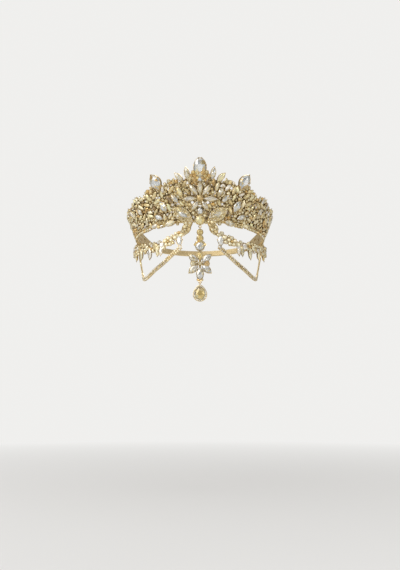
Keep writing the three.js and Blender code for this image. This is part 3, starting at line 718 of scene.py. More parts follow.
def finish_wall(piece):
    """Give the band its four materials, painted shade between the settings among them, and count the shaded
    faces.
    """
    for material in (recess_shade_gilt, satin_shade_gilt, cup_gilt):
        piece.data.materials.append(material)
    for face in piece.data.polygons:
        x, y, _ = face.center
        out = over_wall(face.center)
        looks_out = face.normal.dot(Vector((x, y, -math.hypot(x, y) * math.tan(FLARE))).normalized())
        # Faces of the wall just under the settings, except at the back, get painted shade.
        if RECESS_LOW < out < RECESS_HIGH and looks_out > FACES_OUT and y < DARK_TO:
            face.material_index = SHADED_RECESS
        # The inner face gets satin gold with painted shade.
        elif looks_out < FACES_IN and out < SATIN_BELOW:
            face.material_index = SATIN_SHADE
        elif out > RECESS_HIGH:
            face.material_index = SETTING
    return sum(face.material_index == SHADED_RECESS for face in piece.data.polygons)


print("dark faces of the ground:", finish_wall(smoothed("crown_frame", cast_gilt)))
for node in ("wing_right", "wing_left"):
    smoothed(node, cup_gilt)
for node in ("pendant_stem", "drop_setting"):
    smoothed(node, cast_gilt)

# %% [markdown]
# The band between the main stones is paved with small ones, and each needs a place on the flared wall,
# given by its angle round the crown and its height up the wall. A ray along the wall's outward direction
# tells what is there: bare wall, a setting, or a gap. Rays are quick once the CAD nodes are in a tree.

# %% The flared wall
PROBE, WALL_DEPTH = 30 * MM, 1.7 * MM
CREST_STEP, CREST_STEPS = 0.5 * MM, 150


def wall_axes(angle):
    """Directions at an angle round the crown: across the wall, up along it, and outward."""
    turn = math.radians(angle)
    across = Vector((math.cos(turn), math.sin(turn), 0))
    along = Vector((math.sin(FLARE) * math.sin(turn), -math.sin(FLARE) * math.cos(turn), math.cos(FLARE)))
    return across, along, across.cross(along)


def wall_point(angle, up):
    radius, turn = RIM_RADIUS + up * math.sin(FLARE), math.radians(angle)
    return Vector((radius * math.sin(turn), -radius * math.cos(turn), up * math.cos(FLARE)))


def turn_for(distance, up):
    """The angle round the crown, in degrees, of a distance across the wall at a height."""
    return math.degrees(distance / (RIM_RADIUS + up * math.sin(FLARE)))


def tree_of(names):
    """CAD nodes as one shape that rays can be cast at."""
    meshes = [nodes[name].data for name in names]
    vertices, faces = joined([([v.co for v in m.vertices], [f.vertices for f in m.polygons]) for m in meshes])
    return BVHTree.FromPolygons(vertices.tolist(), faces)


def height_over_wall(angle, up):
    """How far the first thing stands out from the wall's face at a place, or None at a gap."""
    outward = wall_axes(angle)[2]
    distance = wall_tree.ray_cast(wall_point(angle, up) + outward * PROBE, -outward, PROBE + WALL_DEPTH)[3]
    return None if distance is None else PROBE - distance


def crest_at(angle):
    """Height of the wall's top edge at an angle, found from above in small steps."""
    steps = (step * CREST_STEP for step in range(CREST_STEPS, 0, -1))
    return next((up for up in steps if height_over_wall(angle, up) is not None), 0)


hanging = "garland", "swag"
wall_tree = tree_of([n for n in nodes if body_of(n) == "crown" and not n.startswith(hanging)])
stone_tree = tree_of(list(main_stones))
print("height of the crest near the front, mm:", round(crest_at(4) / MM, 1))

# %% [markdown]
# A small stone is a chip in a cup: a short tapered wall under its girdle, with claws bent over its edge.
# It is repeated hundreds of times, so it has only a few dozen faces. Stone and cup are made once for
# each outline, one unit wide, and scaled to each place.

# %% Small stones and their cups
CHIP_SIDES = {"round": 8, "navette": 10}
# Shares of a prong's size: half its width, its foot outward and forward, its tip inward, then how much
# narrower and how deep the tip is.
PRONG_HALF, PRONG_OUT, PRONG_FRONT, PRONG_IN, PRONG_TIP, PRONG_BACK = 0.55, 0.9, 0.8, 0.5, 0.8, 0.6
# Shares of a stone's width or length.
PRONG_SIZE, PRONG_LOW, PRONG_HIGH = 0.17, -0.1, 0.2
END_AT, END_SIZE, END_HIGH = 0.46, 0.16, 0.16
CUP_LONG, CUP_WIDE, CUP_TOP = 1.12, 1.2, -0.04
FOOT_LONG, FOOT_WIDE, FOOT_LOW = 0.8, 0.75, -0.5


def prong(x, y, size, low, high):
    """A claw for a small stone: three corners at its foot and three at its tip."""
    inward = Vector((-x, -y, 0)).normalized() * size
    side = Vector((-inward.y, inward.x, 0)) * PRONG_HALF
    foot, tip = Vector((x, y, low)) - inward * PRONG_OUT, Vector((x, y, high)) + inward * PRONG_IN
    narrow, back = side * PRONG_TIP, inward * PRONG_BACK
    return hull_of([foot - side, foot + side, foot + inward * PRONG_FRONT,
                    tip - narrow - back, tip + narrow - back, tip])


def small_cup(kind, long, wide, claws):
    """A cup with claws at some of 24 places round its edge and, for a navette, at both points."""
    rim = ring(kind, long * CUP_LONG, wide * CUP_WIDE, CHIP_SIDES[kind], CUP_TOP * wide)
    foot = ring(kind, long * FOOT_LONG, wide * FOOT_WIDE, CHIP_SIDES[kind], FOOT_LOW * wide)
    edge = outline(kind, long, wide, EDGE_PLACES)
    parts = [hull_of(rim + foot)]
    parts += [prong(*edge[i], PRONG_SIZE * wide, PRONG_LOW * wide, PRONG_HIGH * wide) for i in claws]
    for end in (-1, 1) if kind == "navette" else ():
        parts.append(prong(0, end * long * END_AT, END_SIZE * wide, PRONG_LOW * wide, END_HIGH * wide))
    return one_finish(joined(parts))


CHIPS = {
    "round": chip("round", 1, 1, CHIP_SIDES["round"]),
    "navette": chip("navette", 2, 1, CHIP_SIDES["navette"]),
}
CUPS = {
    "round": small_cup("round", 1, 1, (3, 9, 15, 21)),
    "navette": small_cup("navette", 2, 1, (0, 12)),
}
print("faces of a small stone and its cup:", len(CHIPS["round"][1]), len(CUPS["round"][1]))

# %% [markdown]
# The ground is not one colour. Drifts of amber run through the cream and champagne, as the settings were
# filled from several bags of stones, so the palette follows a slow noise over the wall. Round the foot
# of the top stone, and close round the flower's bead, nearly all are amber, and under the flower's petals
# they are pale.

# %% Colours of the ground
GROUND_TINTS = [(CHAMPAGNE, 36), (CREAM, 34), (LEMON, 8), (AMBER, 10), (PEARL, 9), (UMBER, 3)]
AMBER_TINTS = [(CHAMPAGNE, 36), (AMBER, 40), (CREAM, 18), (UMBER, 6)]
PALE_TINTS = [(CREAM, 44), (CHAMPAGNE, 22), (LEMON, 20), (PEARL, 12), (UMBER, 2)]
DRIFT_SIZE, AMBER_DRIFT, PALE_DRIFT = 16 * MM, 0.3, -0.12
TOP_WITHIN, TOP_FROM = 11, 44 * MM
BEAD_UP, AMBER_REACH, PALE_REACH = 28 * MM, 7 * MM, 26 * MM
DIM, BRIGHT = 0.76, 1.1


def ground_tint(palette):
    """A tint from a palette, a little lighter or darker than its neighbours."""
    light = luck.uniform(DIM, BRIGHT)
    return tuple(min(1, c * light) for c in drawn(palette))


def ground_palette(angle, up):
    across = math.radians(angle) * RIM_RADIUS
    by_top = abs(angle) < TOP_WITHIN and up > TOP_FROM
    from_bead = math.hypot(across, up - BEAD_UP)
    drift = noise_at(Vector((across, up, 0)) / DRIFT_SIZE)
    if by_top or from_bead < AMBER_REACH or drift > AMBER_DRIFT and from_bead > PALE_REACH:
        return AMBER_TINTS
    return PALE_TINTS if drift < PALE_DRIFT or from_bead < PALE_REACH else GROUND_TINTS


print("tints of the ground:", len(GROUND_TINTS), "amber:", len(AMBER_TINTS), "pale:", len(PALE_TINTS))

# %% [markdown]
# No setter gets a small stone quite true, and the crown glitters because of it. So each is placed by a
# matrix that faces it outward and then tips it by a few degrees either way. One function sets a stone
# together with its cup, and the whole of the crown uses it.

# %% Placing a small stone
LIFT, WOBBLE, PLAY = 0.3, 7, 0.36
THICKEST = 4.2 * MM


def facing(place, axes, wide, long, lean=0.0, wobble=WOBBLE):
    """A matrix for a stone: its width across, its length along, its table outward, a little out of true."""
    tilt = Matrix.Rotation(math.radians(luck.uniform(-wobble, wobble)), 4, "X")
    tilt = tilt @ Matrix.Rotation(math.radians(luck.uniform(-wobble, wobble)), 4, "Y")
    size = Matrix.Diagonal((wide, long, min(wide, THICKEST), 1))
    return matrix_of(*axes, place) @ Matrix.Rotation(math.radians(lean), 4, "Z") @ tilt @ size


def set_small(stones, cups, kind, place, axes, long, wide, palette,
              lean=0.0, lift=LIFT, wobble=WOBBLE, play=PLAY):
    """One small stone in its cup, standing on a place, with axes across, along and outward."""
    tall = long if kind == "round" else long / 2
    matrix = facing(place + axes[2] * lift * wide, axes, wide, tall, lean, wobble)
    stones.lay(CHIPS[kind], matrix, ground_tint(palette), play)
    cups.lay(CUPS[kind], matrix)


print("small stones lean up to", WOBBLE, "degrees out of true")

# %% [markdown]
# A stone may only go where no earlier one is in the way. Each keeps its room as balls, one for a round
# and three along a navette, because balls are the quickest shapes to test against each other. They may
# overlap a little, as the stones of a full ground touch.

# %% Room for a small stone
SQUEEZE = 0.95
BALLS_AT = 0.3


class Ground:
    """Places already taken, as balls."""
    def __init__(self):
        self.centres, self.radii = np.zeros((0, 3)), np.zeros(0)

    def free(self, centres, radii, squeeze=SQUEEZE):
        for centre, radius in zip(centres, radii):
            gaps = np.linalg.norm(self.centres - np.array(centre), axis=1) - (self.radii + radius) * squeeze
            if len(gaps) and gaps.min() < 0:
                return False
        return True

    def take(self, centres, radii):
        self.centres = np.vstack([self.centres, np.array(centres)])
        self.radii = np.append(self.radii, radii)


def balls(angle, up, long, wide, lean):
    """A small stone's room as balls along its length."""
    across, along, _ = wall_axes(angle)
    axis = along * math.cos(math.radians(lean)) - across * math.sin(math.radians(lean))
    shifts = [0] if long == wide else [-BALLS_AT * long, 0, BALLS_AT * long]
    return [wall_point(angle, up) + axis * s for s in shifts], [wide / 2] * len(shifts)


print("balls for a round and for a navette:", [len(balls(0, 0, long, 1, 0)[0]) for long in (1, 2)])

# %% [markdown]
# The wall under a stone is tested too: nothing may stand beside it, and most of its foot must lie on the
# wall. A single ray would miss what is at a stone's sides, so rays are cast in a ring round its middle
# and, for a navette, round both ends.

# %% Bare wall
SETTING_HEIGHT, BESIDE_HEIGHT = 1.2 * MM, 1.25 * MM
FOOT_PLACES, MOST_OPEN = 8, 4
ENDS_AT, END_FOOT, END_OPEN = 0.34, 0.22, 5
EDGE_TURNS, EDGE_RISES = (-1.6, 0, 1.6), (-2.4, 0, 1.5)


def bare(angle, up, radius, most_open=MOST_OPEN):
    """True where a stone's foot finds wall under it, or spans a narrow gap, and no setting is beside it."""
    if (height_over_wall(angle, up) or 0) > SETTING_HEIGHT:
        return False
    opened = 0
    for i in range(FOOT_PLACES):
        turn = 2 * math.pi * i / FOOT_PLACES
        step = turn_for(radius * math.cos(turn), up)
        height = height_over_wall(angle + step, up + radius * math.sin(turn))
        if height is None:
            opened += 1
        elif height > BESIDE_HEIGHT:
            return False
    return opened <= most_open


def lies_bare(angle, up, lean, long, wide):
    """True where both ends of a navette lie over bare wall too."""
    for end in (-ENDS_AT, ENDS_AT):
        rise = end * long * math.cos(math.radians(lean))
        step = turn_for(-end * long * math.sin(math.radians(lean)), up)
        if not bare(angle + step, up + rise, END_FOOT * wide, END_OPEN):
            return False
    return True


def clear_edge(angle, up):
    """True where no setting stands within a stone's width of a place on an edge of the wall."""
    spots = [(angle + turn, up + rise * MM) for turn in EDGE_TURNS for rise in EDGE_RISES]
    return max(height_over_wall(*spot) or 0 for spot in spots) < SETTING_HEIGHT


print("bare places in 100 along the wall:", sum(bare(a, 12 * MM, 1.5 * MM) for a in range(-100, 100, 2)))

# %% [markdown]
# Slim navettes stand along the crest and point past it, and rounds follow the crest and the rim, where
# they break the line of the metal. The navettes' angles and leans are read one by one, so they are a short
# table, the same on both sides. The rounds are tried at every quarter of a degree, and each that finds
# room stays.

# %% The crest and the edges
CREST_NAVETTES = [  # angle, lean from upright, length mm
    (18.2, -14, 8), (22.6, 22, 7.4), (25.2, -20, 7), (37.6, 26, 8.6), (41.4, 34, 8), (44.4, 8, 7.4),
    (49.6, -12, 8), (56.8, 30, 8), (61.6, 12, 8.4), (66, 32, 7.4), (72.4, -6, 8), (78.8, 24, 8), (86, 10, 8),
    (93, 22, 7.4),
]
SLIM, SUNK, BELOW_CREST = 0.42, 0.06, 2 * MM
PAVED_TO, EDGE_STEP = 128, 0.25
EDGE_SIZES, EDGE_WOBBLE = (4.4, 4.0, 3.6), 10
RIM_UP, RIM_TESTED = -0.5 * MM, 1.2 * MM
CREST_UP, CREST_DOWN, CREST_TESTED = -0.6, 0.8, 0.6 * MM


def stand_navettes(stones, cups, ground):
    """Slim stones that stand along the crest and point past it."""
    for sign in (-1, 1):
        for angle, lean, long in CREST_NAVETTES:
            angle, lean, long, wide = sign * angle, -sign * lean, long * MM, SLIM * long * MM
            up = crest_at(angle) - SUNK * long
            centres, radii = balls(angle, up, long, wide, lean)
            if clear_edge(angle, up - BELOW_CREST) and ground.free(centres, radii):
                ground.take(centres, radii)
                spot = wall_point(angle, up), wall_axes(angle)
                set_small(stones, cups, "navette", *spot, long, wide, PALE_TINTS, lean)


def edge_row(stones, cups, ground, row):
    """The rounds along the rim or the crest, and how many there are."""
    count = 0
    for i in range(int(2 * PAVED_TO / EDGE_STEP)):
        angle = -PAVED_TO + i * EDGE_STEP
        wide = luck.choice(EDGE_SIZES) * MM
        if row == "rim":
            up, tested = RIM_UP, RIM_TESTED
        else:
            crest = crest_at(angle)
            up, tested = crest - luck.uniform(CREST_UP, CREST_DOWN) * MM, crest - CREST_TESTED
        place = wall_point(angle, up)
        if clear_edge(angle, tested) and ground.free([place], [wide / 2]):
            ground.take([place], [wide / 2])
            palette = ground_palette(angle, up)
            set_small(stones, cups, "round", place, wall_axes(angle), wide, wide, palette, wobble=EDGE_WOBBLE)
            count += 1
    return count


print("navettes for the crest:", 2 * len(CREST_NAVETTES))

# %% [markdown]
# A maker fills such a ground by eye: the larger stones first, then smaller ones in what is left. The
# same is done here with seeded tries. A try draws a place and a lean, and takes the place if it passes
# the tests above. The places are kept, because each cup also needs a rivet behind it.

# %% Filling the ground
PASSES = [  # kind, length mm, width mm, tries
    ("navette", 12, 4.6, 900), ("navette", 9.6, 4, 2400), ("round", 4.4, 4.4, 1200),
    ("navette", 7, 3.2, 3000), ("round", 3.6, 3.6, 9000), ("round", 2.9, 2.9, 14000),
    ("round", 2.3, 2.3, 18000), ("round", 1.8, 1.8, 18000),
]
LOWEST_UP, HIGHEST_UP = -0.5, 60
LEAST_LEAN, MOST_LEAN = 5, 75
FOOT_SHARE = 0.4


def pave_ground():
    """The small stones of the band, with their cups; gives the places of those between its edges."""
    stones, cups, ground, places = Tray(), Tray(), Ground(), []
    stand_navettes(stones, cups, ground)
    print("stones along the edges:", sum(edge_row(stones, cups, ground, row) for row in ("rim", "crest")))
    for kind, long, wide, tries in PASSES:
        long, wide = long * MM, wide * MM
        for _ in range(tries):
            angle, up = luck.uniform(-PAVED_TO, PAVED_TO), luck.uniform(LOWEST_UP, HIGHEST_UP) * MM
            lean = luck.choice((-1, 1)) * luck.uniform(LEAST_LEAN, MOST_LEAN)
            centres, radii = balls(angle, up, long, wide, lean)
            if not bare(angle, up, FOOT_SHARE * wide) or not ground.free(centres, radii):
                continue
            if kind == "navette" and not lies_bare(angle, up, lean, long, wide):
                continue
            ground.take(centres, radii)
            spot = wall_point(angle, up), wall_axes(angle)
            set_small(stones, cups, kind, *spot, long, wide, ground_palette(angle, up), lean)
            places.append((angle, up))
    stones.cast("ground_stones", [small_crystal], "crown", "clear_crystal")
    cups.cast("ground_cups", [cup_gilt], "crown", "gilt_metal")
    return places


rivets = pave_ground()
print("small stones on the ground:", len(rivets))

# %% [markdown]
# Some stones are one solid with the metal in the CAD model: the slim navettes and studs of the band and
# every stone of the garlands. Each still has a flat table, and a flat many-sided face with nothing over
# it is easy to find. A proper cut stone in a cup is then set over each.

# %% Stones that the CAD model fused with the metal
TABLE_CORNERS, LEAST_TABLE, MOST_TABLE = 8, 0.8 * MM ** 2, 80 * MM ** 2
TABLE_FILL, LONGEST = 0.5, 20 * MM
SKIN, COVERED = 0.2 * MM, 6 * MM
GROW, SINK, FUSED_WOBBLE = 1.06, 0.16, 4
SLIM_TINTS = [(PEARL, 45), (LEMON, 30), (CREAM, 25)]
BAND_FROM = 1.2 * MM


def fused_stones(node, lowest=None, square_on=0.5):
    """Stones of a CAD node whose tables look outward, square_on being the least cosine, and stand at
    least that high over the wall."""
    found = []
    for corners, normal, area in flat_facets(node):
        middle = sum(corners, Vector()) / len(corners)
        looks_out = normal.dot(Vector((middle.x, middle.y, 0)).normalized()) > square_on
        if len(corners) < TABLE_CORNERS or not LEAST_TABLE < area < MOST_TABLE or not looks_out:
            continue
        stone = stone_place(corners, normal, 1 / TABLE_SHARE)
        if area < TABLE_FILL * stone.long * stone.wide * TABLE_SHARE ** 2 or stone.long > LONGEST:
            continue
        if stone_tree.ray_cast(middle + normal * SKIN, normal, COVERED)[0] is not None:
            continue
        if lowest is None or over_wall(middle) >= lowest:
            found.append(stone)
    return found


def set_fused(stones, cups, stone, palette, play=PLAY):
    """A stone in its cup over one that the CAD model fused with its metal."""
    matrix, kind, long, wide = stone
    axes = axes_of(matrix)
    place = matrix.translation - axes[2] * SINK * wide
    size = long * GROW, wide * GROW
    set_small(stones, cups, kind, place, axes, *size, palette, lift=0, wobble=FUSED_WOBBLE, play=play)


def dress_frame():
    stones, cups = Tray(), Tray()
    found = fused_stones("crown_frame", BAND_FROM)
    for stone in found:
        set_fused(stones, cups, stone, AMBER_TINTS if stone.kind == "round" else SLIM_TINTS)
    stones.cast("band_stones", [small_crystal], "crown", "clear_crystal")
    cups.cast("band_cups", [cup_gilt], "crown", "gilt_metal")
    return found


print("fused stones of the band:", len(dress_frame()))

# %% [markdown]
# Some main stones wear a collar: a row of small amber rounds that follows part of the stone's outline a
# little outside it. The top stone has two rows round its foot, with a pale stone in the middle, and the
# pendant's white round has one over its shoulders. One function walks along the outline and sets them.

# %% Collars
AMBER_ONLY = [(AMBER, 45), (HONEY, 35), (CHAMPAGNE, 20)]
COLLAR_STEP, COLLAR_WOBBLE = 5, 12
TOP_COLLAR = [  # from and to in degrees, then mm: width, pitch, distance from the stone, lift
    (205, 250, 4.6, 4.2, 1.7, 0.3), (215, 240, 4.2, 3.8, 5.4, -0.3),
    (290, 335, 4.6, 4.2, 1.7, 0.3), (300, 325, 4.2, 3.8, 5.4, -0.3),
]
PALE_MIDDLE, MIDDLE_BELOW, MIDDLE_LIFT = 5.4 * MM, 2.4 * MM, 0.9 * MM


def along_line(points, pitch):
    """Points at an even pitch along a line of points."""
    steps = [0.0]
    for a, b in zip(points, points[1:]):
        steps.append(steps[-1] + (b - a).length)
    count = max(2, round(steps[-1] / pitch) + 1)
    wanted = np.linspace(0, steps[-1], count)
    columns = [np.interp(wanted, steps, [p[i] for p in points]) for i in range(3)]
    return [Vector(c) for c in zip(*columns)]


def collar(stones, cups, node, start, end, wide, pitch, margin, lift):
    """Small rounds along a main stone's outline, from one angle in its plane to another, in degrees."""
    matrix, kind, long, across = main_stones[node]
    edge = outline(kind, long + 2 * margin, across + 2 * margin, 360 // COLLAR_STEP)
    turns = range(start, end + 1, COLLAR_STEP)
    line = [matrix @ Vector((*edge[turn // COLLAR_STEP % len(edge)], 0)) for turn in turns]
    axes, spots = axes_of(matrix), along_line(line, pitch)
    for spot in spots:
        place = spot + axes[2] * lift
        set_small(stones, cups, "round", place, axes, wide, wide, AMBER_ONLY, lift=0, wobble=COLLAR_WOBBLE)
    return len(spots)


def collar_top_stone():
    stones, cups, count = Tray(), Tray(), 1
    for start, end, *sizes in TOP_COLLAR:
        count += collar(stones, cups, "top_stone", start, end, *(size * MM for size in sizes))
    matrix, _, long, _ = main_stones["top_stone"]
    middle = matrix @ Vector((0, -long / 2 - MIDDLE_BELOW, MIDDLE_LIFT))
    set_small(stones, cups, "round", middle, axes_of(matrix), PALE_MIDDLE, PALE_MIDDLE, [(SKY, 1)], lift=0)
    stones.cast("top_collar_stones", [small_crystal], "crown", "champagne_crystal")
    cups.cast("top_collar_cups", [cup_gilt], "crown", "gilt_metal")
    return count


print("stones of the top collar:", collar_top_stone())

# %% [markdown]
# The wings are pave: a thin plate drilled all over, with a tiny stone in each hole. A grid of holes
# would not follow a wing's curved edge, so the stones are placed by seeded tries, the larger first and
# the smallest in what is left. Rays find the plate and its slope, and a ring of rays keeps a stone away
# from the edge and the settings.

# %% Places on the wings
WING_SPAN = 36
PLATE_PLACES, PLATE_DEPTH, PLATE_STEP, PLATE_FACES, OVER_PLATE = 6, 3 * MM, 0.8 * MM, 0.6, 8 * MM
wing_tree = tree_of(["wing_right", "wing_left"])


def plate_place(angle, up, radius):
    """The wing's surface and its directions at a place, or None near an edge or a setting."""
    outward = wall_axes(angle)[2]

    def struck(angle, up):
        return wing_tree.ray_cast(wall_point(angle, up) + outward * PROBE, -outward, PROBE + PLATE_DEPTH)

    hit, normal, _, distance = struck(angle, up)
    if hit is None or normal.dot(outward) < PLATE_FACES:
        return None
    if stone_tree.ray_cast(hit, outward, OVER_PLATE)[0] is not None:
        return None
    for i in range(PLATE_PLACES):
        turn = 2 * math.pi * i / PLATE_PLACES
        near = struck(angle + turn_for(radius * math.cos(turn), 0), up + radius * math.sin(turn))[3]
        if near is None or abs(near - distance) > PLATE_STEP:
            return None
    across = normal.orthogonal().normalized()
    return hit, (across, normal.cross(across), normal)


def tries_on_wings(taken, sizes, low, high, foot, squeeze):
    """Seeded tries on both wings: yields the place, the directions and the width of each that fits."""
    for wide, tries in sizes:
        wide = wide * MM
        for _ in range(tries):
            angle, up = luck.uniform(-WING_SPAN, WING_SPAN), luck.uniform(low, high)
            found = plate_place(angle, up, foot * wide)
            if found and taken.free([found[0]], [wide / 2], squeeze):
                taken.take([found[0]], [wide / 2])
                yield *found, wide


plated = [angle for angle in range(-WING_SPAN, WING_SPAN) if plate_place(angle, 10 * MM, MM)]
print("plate found 10 mm up at", len(plated), "of", 2 * WING_SPAN, "places")

# %% [markdown]
# Each tiny stone is held by beads of metal that are raised round it, so a bead is made once, with few
# faces, and three are laid round every stone. The lobe under each wing has larger rounds in cups, and
# the few stones that the CAD model fused with the plate are set among them.

# %% Paving the wings
LOBE_LOW, LOBE_TOP, WING_TOP = -30 * MM, 1.5 * MM, 34 * MM
LOBE_SIZES = [(4.0, 1500), (3.2, 2000), (2.2, 3500)]  # width mm, tries
PAVE_SIZES = [(2.0, 7000), (1.7, 7000), (1.5, 7000), (1.2, 7000)]
PAVE_TINTS = [(CREAM, 50), (CHAMPAGNE, 28), (LEMON, 12), (PEARL, 10)]
LOBE_FOOT, LOBE_LIFT = 0.3, 0.42
PAVE_FOOT, PAVE_LIFT, PAVE_SQUEEZE, PAVE_WOBBLE = 0.15, 0.22 * MM, 0.88, 5
BEAD_TURNS, BEAD_OUT, BEAD_WIDE = (30, 150, 270), 0.6, 0.7 * MM
pave_chip = chip("round", 1, 1, 6)
small_bead = one_finish(hull_of(ring("round", 1, 1, 5, -0.2) + ring("round", 0.6, 0.6, 5, 0.35)))


def pave_wings():
    stones, beads, taken, count = Tray(), Tray(), Ground(), 0
    for place, axes, wide in tries_on_wings(taken, LOBE_SIZES, LOBE_LOW, LOBE_TOP, LOBE_FOOT, SQUEEZE):
        set_small(stones, beads, "round", place, axes, wide, wide, PAVE_TINTS, lift=LOBE_LIFT)
        count += 1
    fused = fused_stones("wing_right") + fused_stones("wing_left")
    for stone in fused:
        set_fused(stones, beads, stone, PAVE_TINTS)
    taken.take([stone.matrix.translation for stone in fused], [stone.wide / 2 for stone in fused])
    for place, axes, wide in tries_on_wings(taken, PAVE_SIZES, LOBE_TOP, WING_TOP, PAVE_FOOT, PAVE_SQUEEZE):
        across, along, outward = axes
        matrix = facing(place + outward * PAVE_LIFT, axes, wide, wide, wobble=PAVE_WOBBLE)
        stones.lay(pave_chip, matrix, ground_tint(PAVE_TINTS), PLAY)
        for turn in BEAD_TURNS:
            side = across * math.cos(math.radians(turn)) + along * math.sin(math.radians(turn))
            spot = place + side * wide * BEAD_OUT
            beads.lay(small_bead, facing(spot, axes, BEAD_WIDE, BEAD_WIDE, wobble=0))
        count += 1
    stones.cast("wing_pave", [small_crystal], "crown", "clear_crystal")
    beads.cast("wing_beads", [gilt], "crown", "gilt_metal")
    return count


print("wing stones:", pave_wings())

# %% [markdown]
# The garlands and the chains hang on wires. A wire follows a short table of points round the crown, made
# smooth, and gets a ring of vertices at each point, every two of them bridged. A curve with a bevel
# would do as well, but it would be an object of its own, and these wires are joined with their cups.

# %% Wires
def angle_of(point):
    return math.degrees(math.atan2(point.x, -point.y))


def radial_axes(point):
    """Directions on a surface round the crown at a point: across, up and outward."""
    outward = Vector((point.x, point.y, 0)).normalized()
    return Vector((-outward.y, outward.x, 0)), Vector((0, 0, 1)), outward


def route(table, sign):
    """Points round the crown, from rows of angle, drop and distance; sign -1 is the left side."""
    points = []
    for angle, drop, distance in table:
        turn, distance = math.radians(angle), distance * MM
        points.append(Vector((sign * distance * math.sin(turn), -distance * math.cos(turn), -drop * MM)))
    return points


def smooth_line(points, pieces=8):
    """A Catmull-Rom line through points."""
    ends = [2 * points[0] - points[1]] + points + [2 * points[-1] - points[-2]]
    line = []
    for a, b, c, d in zip(ends, ends[1:], ends[2:], ends[3:]):
        square, cube = 2 * a - 5 * b + 4 * c - d, 3 * b - a - 3 * c + d
        for t in (k / pieces for k in range(pieces)):
            line.append(0.5 * (2 * b + (c - a) * t + square * t * t + cube * t ** 3))
    return line + [points[-1]]


def tube(tray, points, radius, sides=6, closed=False):
    """A wire through some points: a ring of vertices at each, every two bridged, and the ends capped or,
    for a closed wire, bridged too."""
    bm = bmesh.new()
    rings, last = [], len(points) - 1
    for i, point in enumerate(points):
        before, after = (i - 1, (i + 1) % len(points)) if closed else (max(i - 1, 0), min(i + 1, last))
        ahead = (points[after] - points[before]).normalized()
        x = ahead.cross(Vector((point.x, point.y, 0))).normalized()
        place, capped = matrix_of(x, ahead.cross(x), ahead, point), not closed and i in (0, last)
        circle = bmesh.ops.create_circle(bm, cap_ends=capped, segments=sides, radius=radius, matrix=place)
        rings.append(list(dict.fromkeys(e for v in circle["verts"] for e in v.link_edges)))
    for edges, following in zip(rings, rings[1:] + (rings[:1] if closed else [])):
        bmesh.ops.bridge_loops(bm, edges=edges + following)
    bmesh.ops.recalc_face_normals(bm, faces=bm.faces)
    tray.lay(one_finish(solid_of(bm)), Matrix())


STRAND = [  # angle round the crown, drop below the rim mm, distance from the middle mm
    (13.8, 14.2, 81.1), (19, 15.8, 81.8), (26, 21.2, 82.6), (33, 24.4, 83), (40, 24.8, 83), (51, 23.8, 83),
    (63, 21.6, 83), (76, 20.4, 83), (86, 18.2, 83), (94, 12.6, 83), (100, 6.4, 82.8), (103.4, 1.5, 82.4),
]
strand_steps = along_line(smooth_line(route(STRAND, 1)), MM)
print("length of a garland's wire, mm: about", len(strand_steps) - 1)

# %% [markdown]
# Each garland carries a small flower, five pale petals round an amber heart, and many small rounds that
# are threaded on its wire, so close that it reads as one thick spray. The rounds are tried a few times at
# every step along the wire, above and below it. Near its rear end the garland turns on the wire, so that
# its stones still look forward.

# %% Flowers and threaded rounds
GARLAND_TINTS = [(CHAMPAGNE, 30), (CREAM, 44), (PEARL, 14), (AMBER, 12)]
PETAL_TINTS = [(CREAM, 60), (LEMON, 40)]
CALM = 0.2
PETALS, PETAL_OUT, PETAL_WIDE, HEART_WIDE, FLOWER_SINK = 5, 4.1 * MM, 4.8 * MM, 3.6 * MM, 2.2 * MM
TURNED_FROM, TAIL_RISE = 78, 1.4 * MM
FILL_SIZES, FILL_TRIES = (5.2, 4.6, 3.8), 5
FILL_LOW, FILL_HIGH, FILL_SQUEEZE, FILL_WOBBLE = -5, 4.6, 0.85, 12
FILL_OUT, FILL_SINK = 2 * MM, 0.4 * MM
END_SPREAD, SPREAD_STEP = 0.4, 0.06


def set_flower(stones, cups, taken, centre):
    """An amber heart with pale petals round it."""
    across, up, outward = axes = radial_axes(centre)
    turns = np.arange(PETALS) * 2 * math.pi / PETALS + math.pi / 2
    parts = [(Vector(), HEART_WIDE, [(AMBER, 1)])]
    parts += [((across * math.cos(t) + up * math.sin(t)) * PETAL_OUT, PETAL_WIDE, PETAL_TINTS) for t in turns]
    for shift, wide, palette in parts:
        place = centre + shift - outward * FLOWER_SINK
        set_small(stones, cups, "round", place, axes, wide, wide, palette, play=CALM)
        taken.take([centre + shift], [wide / 2])


def thread_rounds(stones, cups, taken, spots):
    """Rounds threaded along the wire wherever there is room, closer to it near both ends."""
    for i, point in enumerate(spots):
        across, up, outward = radial_axes(point)
        if abs(angle_of(point)) > TURNED_FROM:
            across, up, outward = radial_axes(outward + Vector((0, -1, 0)))
            point += outward * TAIL_RISE
        spread = min(1, END_SPREAD + SPREAD_STEP * min(i, len(spots) - i))
        for _ in range(FILL_TRIES):
            wide = luck.choice(FILL_SIZES) * MM
            place = point + up * luck.uniform(FILL_LOW, FILL_HIGH) * spread * MM
            if taken.free([place + outward * FILL_OUT], [wide / 2], FILL_SQUEEZE):
                taken.take([place + outward * FILL_OUT], [wide / 2])
                size = wide, wide
                spot = place - outward * FILL_SINK, (across, up, outward)
                set_small(stones, cups, "round", *spot, *size, GARLAND_TINTS, wobble=FILL_WOBBLE, play=CALM)


print("a flower has", PETALS, "petals, each", round(PETAL_WIDE / MM, 1), "mm wide")

# %% [markdown]
# A garland is a carrying wire hung from the wing to the side of the band, hidden under round stones, its
# flower and navettes that hang from it. The wire is a tube along the line of the CAD model's round
# stones. Those stones are one solid with it there, so they are found by their tables and set again, from
# the front to the rear, and the rounds are threaded between them.

# %% Garlands
HANGING_TINTS = [(CREAM, 60), (PEARL, 25), (CHAMPAGNE, 15)]
TABLES_OUT, FLOWER_FROM, WHITE_FROM = 0.95, 9 * MM, 6.5 * MM
WIRE_STEP, WIRE_RADIUS, FILL_STEP = 3 * MM, 0.65 * MM, 0.8 * MM


